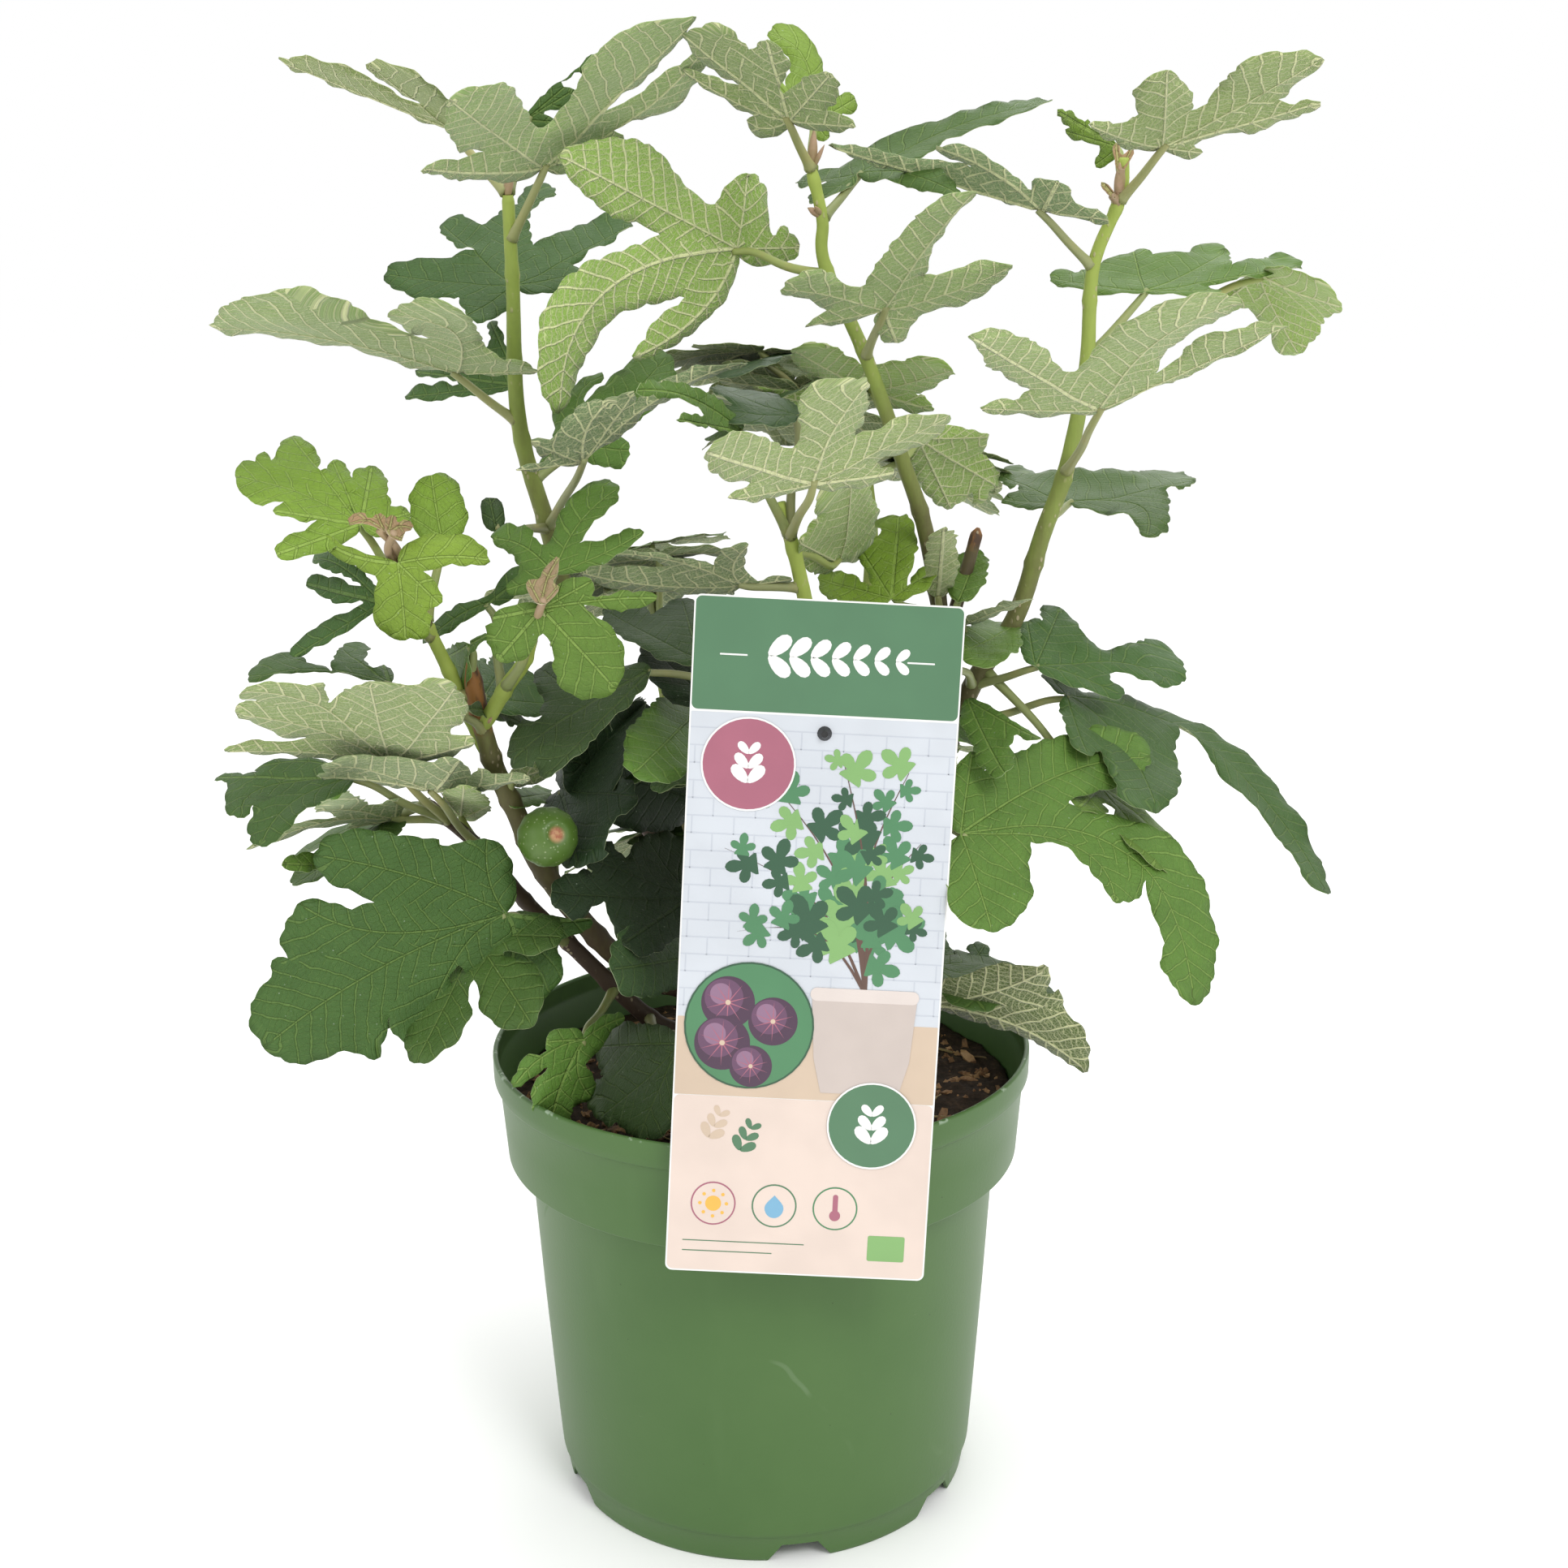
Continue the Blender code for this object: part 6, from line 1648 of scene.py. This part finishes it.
def scatter_tree():
    """Geometry Nodes that strew copies of a shape over a surface, each turned and sized by chance."""
    tree = bpy.data.node_groups.new("strewn_bits", "GeometryNodeTree")
    sockets = {}
    for name, kind in (("Surface", "NodeSocketGeometry"), ("Bit", "NodeSocketObject"), ("Density", "NodeSocketFloat"),
                       ("Least", "NodeSocketFloat"), ("Most", "NodeSocketFloat"), ("Tilt", "NodeSocketFloat"),
                       ("Draw", "NodeSocketInt"), ("Finish", "NodeSocketMaterial")):
        sockets[name] = tree.interface.new_socket(name, in_out="INPUT", socket_type=kind)
    tree.interface.new_socket("Bits", in_out="OUTPUT", socket_type="NodeSocketGeometry")

    def node(kind, settings, inputs):
        made = tree.nodes.new(kind)
        for key, value in settings.items():
            setattr(made, key, value)
        for key, value in inputs.items():
            if isinstance(value, bpy.types.NodeSocket):
                tree.links.new(value, made.inputs[key])
            else:
                made.inputs[key].default_value = value
        return made

    given = tree.nodes.new("NodeGroupInput").outputs
    strewn = node("GeometryNodeDistributePointsOnFaces", {"distribute_method": "RANDOM"},
                  {"Mesh": given["Surface"], "Density": given["Density"], "Seed": given["Draw"]})
    shape = node("GeometryNodeObjectInfo", {"transform_space": "ORIGINAL"}, {"Object": given["Bit"]})
    lean_least = node("ShaderNodeMath", {"operation": "MULTIPLY"}, {0: given["Tilt"], 1: -1.0})
    low = node("ShaderNodeCombineXYZ", {}, {"X": lean_least.outputs[0], "Y": lean_least.outputs[0], "Z": 0.0})
    high = node("ShaderNodeCombineXYZ", {}, {"X": given["Tilt"], "Y": given["Tilt"], "Z": math.tau})
    turn = node("FunctionNodeRandomValue", {"data_type": "FLOAT_VECTOR"},
                {0: low.outputs[0], 1: high.outputs[0], "Seed": given["Draw"]})
    size = node("FunctionNodeRandomValue", {"data_type": "FLOAT"},
                {2: given["Least"], 3: given["Most"], "Seed": given["Draw"]})
    placed = node("GeometryNodeInstanceOnPoints", {},
                  {"Points": strewn.outputs["Points"], "Instance": shape.outputs["Geometry"],
                   "Rotation": turn.outputs[0], "Scale": size.outputs[1]})
    real = node("GeometryNodeRealizeInstances", {}, {"Geometry": placed.outputs[0]})
    finished = node("GeometryNodeSetMaterial", {}, {"Geometry": real.outputs[0], "Material": given["Finish"]})
    out = tree.nodes.new("NodeGroupOutput")
    tree.links.new(finished.outputs[0], out.inputs[0])
    return tree, sockets


def bit_shape(name, size, rough, cuts):
    """One chip or stalk: a bent, roughened block of a few dozen faces."""
    bm = bmesh.new()
    bmesh.ops.create_cube(bm, size=1.0, matrix=Matrix.Diagonal((*size, 1.0)))
    long_edges = [e for e in bm.edges if abs(e.verts[0].co.x - e.verts[1].co.x) > size[0] * 0.9]
    bmesh.ops.subdivide_edges(bm, edges=long_edges, cuts=cuts, use_grid_fill=True)
    for vert in bm.verts:
        share = vert.co.x / size[0]
        wobble = noise.noise_vector(vert.co * (3.1 / size[0]) + Vector((len(name), 0, 0)))
        vert.co += Vector(wobble) * min(size[1], size[2] * 2) * rough
        vert.co.y *= 1 - 0.8 * abs(share)
        vert.co.z += size[0] * 0.10 * (0.25 - share ** 2)
    return cutter_object(name, bm)


def make_soil_bits(soil):
    """Wood chips, crumbs and pieces of straw that lie on the soil."""
    tree, sockets = scatter_tree()
    kinds = (
        ("wood_chips", (0.0085, 0.0034, 0.0012), 0.35, 3, 3600.0, 0.45, 1.35, 0.45, 3, CHIPS),
        ("crumbs", (0.0030, 0.0026, 0.0020), 0.45, 2, 22000.0, 0.35, 1.20, 3.0, 5, CHIPS),
        ("straw_pieces", (0.0170, 0.0010, 0.0007), 0.50, 6, 1300.0, 0.45, 1.30, 0.35, 8, STRAW),
    )
    for name, size, rough, cuts, density, least, most, tilt, draw, finish in kinds:
        shape = bit_shape(name + "_shape", size, rough, cuts)
        bed = bpy.data.objects.new(name + "_bed", top_of(soil))
        bpy.context.scene.collection.objects.link(bed)
        change = bed.modifiers.new("strewn", "NODES")
        change.node_group = tree
        chosen = {"Bit": shape, "Density": density, "Least": least, "Most": most, "Tilt": tilt, "Draw": draw,
                  "Finish": finish}
        for key, value in chosen.items():
            change[sockets[key].identifier] = value
        seen = bed.evaluated_get(bpy.context.evaluated_depsgraph_get())
        mesh = bpy.data.meshes.new_from_object(seen)
        mesh.name = name
        bpy.data.objects.remove(bed)
        bpy.data.objects.remove(shape)
        add_piece(name, mesh, "soil")


def top_of(soil):
    """The soil's open upper surface, a little inside the pot's wall."""
    bm = bmesh.new()
    bm.from_mesh(soil.data)
    kept = SOIL_RADIUS - 0.005
    doomed = [v for v in bm.verts if v.co.z < 0.165 or math.hypot(v.co.x, v.co.y) > kept]
    bmesh.ops.delete(bm, geom=doomed, context="VERTS")
    mesh = bpy.data.meshes.new("soil_top")
    bm.to_mesh(mesh)
    bm.free()
    return mesh


# Care card

CARD_WIDTH = 0.0981
CARD_HEIGHT = 0.2556
CARD_THICKNESS = 0.0008
CARD_CORNER = 0.0026
CARD_FOOT = (0.0130, -0.1224, 0.1492)
CARD_FRAME = (Matrix.Translation(CARD_FOOT) @ Matrix.Rotation(math.radians(3.38), 4, "Y")
              @ Matrix.Rotation(-math.radians(6.45), 4, "X"))
PEG_AT = (0.0004, 0.2071)
INK_LAYER = 0.00003
BORDER = 0.0006
HEADER_FOOT = 0.2135
PANEL_FOOT = 0.0690
# Drawn boughs in the picture: tip, bow to the side, leaves, their length, ink layer
POT_MOUTH = (0.0206, 0.1105)
DRAWN_BOUGHS = [
    ((-0.034, 0.163), -0.010, 9, 0.0125, 4.0), ((0.038, 0.168), 0.008, 9, 0.0120, 4.6),
    ((-0.016, 0.186), -0.008, 10, 0.0125, 5.2), ((0.032, 0.194), 0.008, 10, 0.0120, 5.8),
    ((0.008, 0.197), -0.004, 10, 0.0120, 6.4), ((0.042, 0.138), 0.010, 6, 0.0120, 7.0),
    ((-0.028, 0.132), -0.012, 7, 0.0125, 7.6),
]


def card_point(x, z, layer):
    """A place on the card's face, in the card's own metres, a few ink layers proud of it."""
    return CARD_FRAME @ Vector((x, -CARD_THICKNESS / 2 - INK_LAYER * layer, z))


def rounded(width, low, high, radius, steps=6):
    """Outline of a rectangle with round corners, centred across the card."""
    outline = []
    for side, level, start in ((1, low, -90), (1, high, 0), (-1, high, 90), (-1, low, 180)):
        cx = side * (width / 2 - radius)
        cz = level + radius if level == low else level - radius
        for i in range(steps + 1):
            turn = math.radians(start + 90 * i / steps)
            outline.append((cx + radius * math.cos(turn), cz + radius * math.sin(turn)))
    return outline


def disc(x, z, radius, steps=40):
    return [(x + radius * math.cos(math.tau * i / steps), z + radius * math.sin(math.tau * i / steps))
            for i in range(steps)]


def printed(outline, layer, ink):
    """A flat printed shape, as one many-sided face split into triangles."""
    bm = bmesh.new()
    verts = [bm.verts.new(card_point(x, z, layer)) for x, z in outline]
    face = bm.faces.new(verts)
    bmesh.ops.triangulate(bm, faces=[face])
    front = CARD_FRAME.to_3x3() @ Vector((0, -1, 0))
    for made in bm.faces:
        made.normal_update()
        if made.normal.dot(front) < 0:
            made.normal_flip()
    points = [tuple(v.co) for v in bm.verts]
    bm.verts.index_update()
    faces = [[v.index for v in made.verts] for made in bm.faces]
    bm.free()
    return {"points": points, "faces": faces, "materials": [ink] * len(faces), "values": {}}


def within(outline, limits):
    """Whether a drawn shape keeps within half a width, a foot and a top."""
    return all(abs(x) < limits[0] and limits[1] < z < limits[2] for x, z in outline)


def drawn_leaf(x, z, turn, size):
    """Outline of a small five-lobed leaf whose middle lobe points along a turn from upright."""
    outline = []
    for k in range(31):
        angle = math.radians(-132 + 264 * k / 30)
        reach = size * (0.30 + 0.70 * abs(math.cos(2.5 * angle)) ** 0.7) * (1 - 0.14 * abs(angle))
        outline.append((x + reach * math.sin(turn + angle), z + reach * math.cos(turn + angle)))
    return outline


def drawn_bough(tip, bow, leaves, size, layer, inks, wood, limits, rng):
    """A thin drawn bough from the printed pot's mouth, with lobed leaves to both sides."""
    foot, tip = Vector(POT_MOUTH), Vector(tip)
    aside = Vector((tip.y - foot.y, foot.x - tip.x)).normalized() * -bow
    path = [foot.lerp(tip, i / 12) + aside * math.sin(math.pi * i / 12) for i in range(13)]
    shapes = []
    left = [(p.x - 0.0006 * (1.2 - i / 12), p.y) for i, p in enumerate(path)]
    right = [(p.x + 0.0006 * (1.2 - i / 12), p.y) for i, p in enumerate(path)]
    shapes.append(printed(left + right[::-1], layer, wood))
    heading = math.atan2(tip.x - foot.x, tip.y - foot.y)
    for i in range(leaves):
        share = 0.22 + 0.78 * (i + 0.5) / leaves
        at = path[min(12, int(share * 12 + 0.5))]
        turn = heading + (-1) ** i * rng.uniform(0.5, 1.5)
        reach = size * rng.uniform(0.55, 1.1) * (1.15 - 0.45 * share)
        x = at.x + 0.45 * reach * math.sin(turn)
        z = at.y + 0.45 * reach * math.cos(turn)
        outline = drawn_leaf(x, z, turn, reach)
        if within(outline, limits):
            shapes.append(printed(outline, layer + 0.05 + 0.04 * i, rng.choice(inks)))
    return shapes


def sprig(x, z, lean, length, pairs, size, layer, ink):
    """A drawn twig with paired oval leaves, as an emblem."""
    shapes = []
    for i in range(pairs):
        share = (i + 0.6) / pairs
        px = x + length * share * math.sin(lean)
        pz = z + length * share * math.cos(lean)
        for side in (-1, 1):
            turn = lean + side * 0.75
            reach = size * (1.1 - 0.5 * share)
            outline = []
            for k in range(14):
                angle = math.tau * k / 14
                along = 0.5 * (1 - math.cos(angle)) * reach
                across = 0.26 * reach * math.sin(angle) * (1 - 0.25 * math.cos(angle))
                outline.append((px + along * math.sin(turn) + across * math.cos(turn),
                                pz + along * math.cos(turn) - across * math.sin(turn)))
            shapes.append(printed(outline, layer, ink))
    return shapes


def make_card():
    """The card: white stock, green header, pale picture panel with drawn sprigs, cream foot with plain signs."""
    bm = bmesh.new()
    outline = rounded(CARD_WIDTH, 0.0, CARD_HEIGHT, CARD_CORNER)
    hole = disc(*PEG_AT, 0.0024, 20)
    rings = []
    for shape, side in ((outline, -1), (outline, 1)):
        rings.append([bm.verts.new(CARD_FRAME @ Vector((x, side * CARD_THICKNESS / 2, z))) for x, z in shape])
    faces = [bm.faces.new(rings[0]), bm.faces.new(rings[1])]
    for i in range(len(outline)):
        n = (i + 1) % len(outline)
        bm.faces.new((rings[0][i], rings[0][n], rings[1][n], rings[1][i]))
    bmesh.ops.triangulate(bm, faces=faces)
    bmesh.ops.recalc_face_normals(bm, faces=bm.faces)
    mesh = bpy.data.meshes.new("card")
    bm.to_mesh(mesh)
    bm.free()
    mesh.materials.append(INKS["white"])
    add_piece("card", mesh, "card_print", "label_card")
    rng = random.Random(SEED)
    inks = list(INKS)
    number = {name: i for i, name in enumerate(inks)}
    inner = CARD_WIDTH - 2 * BORDER
    shapes = [
        printed(rounded(inner, HEADER_FOOT + 0.0004, CARD_HEIGHT - BORDER, 0.0022), 1, number["green"]),
        printed(rounded(inner, PANEL_FOOT, HEADER_FOOT - 0.0004, 0.0004), 1, number["sky"]),
        printed(rounded(inner, PANEL_FOOT, PANEL_FOOT + 0.030, 0.0004), 2, number["sand"]),
        printed(rounded(inner, BORDER, PANEL_FOOT - 0.0002, 0.0022), 1, number["cream"]),
    ]
    picture = (inner / 2 - 0.0004, PANEL_FOOT + 0.0004, HEADER_FOOT - 0.0013)
    for course in range(17):
        level = PANEL_FOOT + 0.034 + course * 0.0065
        shapes.append(printed(rounded_at(0.0, inner, level, level + 0.0005, 0.0002), 2, number["joint"]))
        for k in range(-3, 4):
            x = k * 0.0155 + (course % 2) * 0.0077
            if abs(x) < picture[0] - 0.001 and level + 0.0065 < picture[2]:
                shapes.append(printed(rounded_at(x, 0.0005, level, level + 0.0065, 0.0002), 2, number["joint"]))
    greens = [number["leaf"], number["leaf_dark"], number["leaf_light"]]
    for tip, bow, leaves, size, layer in DRAWN_BOUGHS:
        shapes += drawn_bough(tip, bow, leaves, size, layer, greens, number["wood"], picture, rng)
    pot_outline = [(0.0010, 0.1090), (0.0402, 0.1090), (0.0385, 0.0850), (0.0350, 0.0720), (0.0060, 0.0720),
                   (0.0028, 0.0850)]
    shapes.append(printed(pot_outline, 8.5, number["clay"]))
    shapes.append(printed(rounded_at(0.0206, 0.0404, 0.1072, 0.1122, 0.0024), 9, number["clay_light"]))
    shapes += drawn_seal(-0.0268, 0.1945, 0.0174, 10, number["white"], number["mauve"])
    shapes += sprig(-0.0268, 0.1845, 0.0, 0.016, 3, 0.0085, 12, number["white"])
    shapes += drawn_seal(-0.0218, 0.0965, 0.0242, 13, number["leaf_dark"], number["leaf"])
    for x, z, radius in ((-0.030, 0.105, 0.0100), (-0.013, 0.0985, 0.0092), (-0.0315, 0.0895, 0.0104),
                         (-0.0205, 0.0810, 0.0080)):
        shapes += drawn_fig(x, z, radius, 15 + 40 * (0.105 - z), number)
    shapes += drawn_seal(0.0259, 0.0600, 0.0168, 17, number["white"], number["green"])
    shapes += sprig(0.0259, 0.0500, 0.0, 0.016, 3, 0.0085, 19, number["white"])
    shapes += sprig(-0.026, 0.2345, 0.5 * math.pi, 0.054, 7, 0.0100, 3, number["white"])
    for side in (-1, 1):
        shapes.append(printed(rounded_at(side * 0.034, 0.010, 0.2340, 0.2346, 0.0002), 3, number["white"]))
    shapes += care_signs(number)
    mesh = joined_mesh("card_printing", shapes, [INKS[name] for name in inks])
    mesh.polygons.foreach_set("use_smooth", [False] * len(mesh.polygons))
    add_piece("card_printing", mesh, "card_print")


def drawn_seal(x, z, radius, layer, edge, face):
    """A printed disc with a thin edge of another ink."""
    return [printed(disc(x, z, radius), layer, edge), printed(disc(x, z, radius - 0.0007), layer + 1, face)]


def drawn_fig(x, z, radius, layer, number):
    """A drawn ripe fig: a dark disc, its paler cheek and fine ribs that run to the eye."""
    shapes = [printed(disc(x, z, radius), layer, number["plum"]),
              printed(disc(x - radius * 0.16, z + radius * 0.18, radius * 0.72), layer + 0.1, number["plum_mid"]),
              printed(disc(x - radius * 0.28, z + radius * 0.32, radius * 0.40), layer + 0.2, number["plum_light"])]
    for k in range(10):
        turn = math.tau * k / 10 + 0.3
        tip = (x + 0.86 * radius * math.cos(turn), z + 0.86 * radius * math.sin(turn))
        wide = (0.03 * radius * math.sin(turn), -0.03 * radius * math.cos(turn))
        shapes.append(printed([(x + wide[0], z + wide[1]), tip, (x - wide[0], z - wide[1])], layer + 0.3,
                              number["mauve"]))
    shapes.append(printed(disc(x, z, radius * 0.10, 12), layer + 0.4, number["sand"]))
    return shapes


def rounded_at(x, width, low, high, radius):
    return [(x + px, pz) for px, pz in rounded(width, low, high, radius)]


def care_signs(number):
    """A sun, a drop and a thermometer in plain outline on the card's foot, and two rules."""
    shapes = []
    for x, ink in ((-0.032, "mauve"), (-0.009, "green"), (0.014, "leaf")):
        shapes.append(printed(disc(x, 0.0270, 0.0085), 3, number[ink]))
        shapes.append(printed(disc(x, 0.0270, 0.0079), 4, number["cream"]))
    shapes.append(printed(disc(-0.032, 0.0270, 0.0030), 5, number["sun"]))
    for k in range(8):
        turn = math.tau * k / 8
        cx, cz = -0.032 + 0.0050 * math.cos(turn), 0.0270 + 0.0050 * math.sin(turn)
        shapes.append(printed(disc(cx, cz, 0.0007, 10), 5, number["sun"]))
    drop = []
    for k in range(24):
        turn = math.tau * k / 24
        squeeze = 1 - max(0.0, math.sin(turn)) ** 2
        rise = 0.0040 * math.sin(turn) * (1.25 - 0.25 * squeeze)
        drop.append((-0.009 + 0.0036 * math.cos(turn) * squeeze ** 0.6, 0.0262 + rise))
    shapes.append(printed(drop, 5, number["water"]))
    shapes.append(printed(rounded_at(0.014, 0.0020, 0.0250, 0.0325, 0.0010), 5, number["mauve"]))
    shapes.append(printed(disc(0.014, 0.0242, 0.0021, 16), 6, number["mauve"]))
    shapes.append(printed(rounded_at(-0.020, 0.046, 0.0120, 0.0124, 0.0002), 3, number["green"]))
    shapes.append(printed(rounded_at(-0.026, 0.034, 0.0080, 0.0084, 0.0002), 3, number["green"]))
    shapes.append(printed(rounded_at(0.034, 0.014, 0.0070, 0.0170, 0.0008), 3, number["leaf_light"]))
    for x, z, ink in ((-0.036, 0.0500, "sand"), (-0.024, 0.0455, "green")):
        shapes += sprig(x, z, 0.4, 0.014, 3, 0.0065, 3, number[ink])
    return shapes


# Scene


def make_camera():
    data = bpy.data.cameras.new("camera")
    data.sensor_width = SENSOR_WIDTH
    data.lens = FOCAL_PIXELS * SENSOR_WIDTH / PICTURE_SIZE
    data.clip_start = 0.01
    made = bpy.data.objects.new("camera", data)
    bpy.context.scene.collection.objects.link(made)
    made.matrix_world = Matrix.Translation(CAMERA_PLACE) @ CAMERA_TURN.to_4x4()
    bpy.context.scene.camera = made


def area_light(name, place, target, size, power):
    data = bpy.data.lights.new(name, "AREA")
    data.shape = "DISK"
    data.size = size
    data.energy = power
    made = bpy.data.objects.new(name, data)
    bpy.context.scene.collection.objects.link(made)
    made.location = place
    made.rotation_euler = (Vector(target) - Vector(place)).to_track_quat("-Z", "Y").to_euler()


def make_studio():
    middle = (0.0, 0.0, 0.32)
    area_light("key", (0.8, -1.5, 1.8), middle, 0.8, 19.0)
    area_light("fill", (-1.5, -1.2, 1.0), middle, 1.2, 4.0)
    area_light("top", (0.2, 0.3, 2.1), middle, 1.0, 8.0)
    area_light("back", (0.4, 1.7, 1.2), middle, 1.2, 5.0)
    world = bpy.data.worlds.new("studio")
    world.use_nodes = True
    background = world.node_tree.nodes["Background"]
    background.inputs["Color"].default_value = (1.0, 1.0, 1.0, 1.0)
    background.inputs["Strength"].default_value = 1.0
    bpy.context.scene.world = world
    bpy.context.scene.view_settings.view_transform = "Standard"
    mesh = bpy.data.meshes.new("floor")
    reach = 60.0
    mesh.from_pydata([(-reach, -reach, 0), (reach, -reach, 0), (reach, reach, 0), (-reach, reach, 0)], [],
                     [(0, 1, 2, 3)])
    floor = bpy.data.objects.new("floor", mesh)
    bpy.context.scene.collection.objects.link(floor)
    finish = Finish("floor", Roughness=1.0, Specular_IOR_Level=0.0)
    finish.shader.inputs["Base Color"].default_value = (1.0, 1.0, 1.0, 1.0)
    mesh.materials.append(finish.material)


LEAF_UPPER, LEAF_UNDER, LEAF_RIM = leaf_upper(), leaf_under(), leaf_rim()
BARK, PETIOLE, YOUNG, FRUIT = stem_bark(), petiole_skin(), young_skin(), fruit_skin()
POT, SOIL, CHIPS, STRAW, BLACK = pot_plastic(), soil_mix(), chip_wood(), straw(), black_plastic()
INKS = {
    "white": print_ink("ink_white", (0.76, 0.76, 0.74)),
    "green": print_ink("ink_green", (0.068, 0.172, 0.085)),
    "sky": print_ink("ink_sky", (0.54, 0.57, 0.61)),
    "joint": print_ink("ink_joint", (0.47, 0.50, 0.55)),
    "sand": print_ink("ink_sand", (0.55, 0.43, 0.32)),
    "cream": print_ink("ink_cream", (0.66, 0.545, 0.475)),
    "leaf": print_ink("ink_leaf", (0.060, 0.200, 0.085)),
    "leaf_dark": print_ink("ink_leaf_dark", (0.020, 0.080, 0.036)),
    "leaf_light": print_ink("ink_leaf_light", (0.190, 0.370, 0.120)),
    "wood": print_ink("ink_wood", (0.100, 0.052, 0.036)),
    "clay": print_ink("ink_clay", (0.50, 0.43, 0.39)),
    "clay_light": print_ink("ink_clay_light", (0.62, 0.55, 0.51)),
    "mauve": print_ink("ink_mauve", (0.34, 0.105, 0.155)),
    "plum": print_ink("ink_plum", (0.055, 0.022, 0.050)),
    "plum_mid": print_ink("ink_plum_mid", (0.115, 0.048, 0.100)),
    "plum_light": print_ink("ink_plum_light", (0.240, 0.130, 0.210)),
    "sun": print_ink("ink_sun", (0.80, 0.42, 0.06)),
    "water": print_ink("ink_water", (0.16, 0.36, 0.52)),
}

make_camera()
make_studio()
for limb_name in LIMBS:
    AXES[limb_name] = limb_axis(limb_name)
for limb_name in LIMBS:
    make_limb(limb_name)
make_leaves()
make_buds()
make_fruit()
make_pot()
make_soil_bits(make_soil())
make_card()
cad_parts["label_stick"].data.materials.clear()
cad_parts["label_stick"].data.materials.append(BLACK)
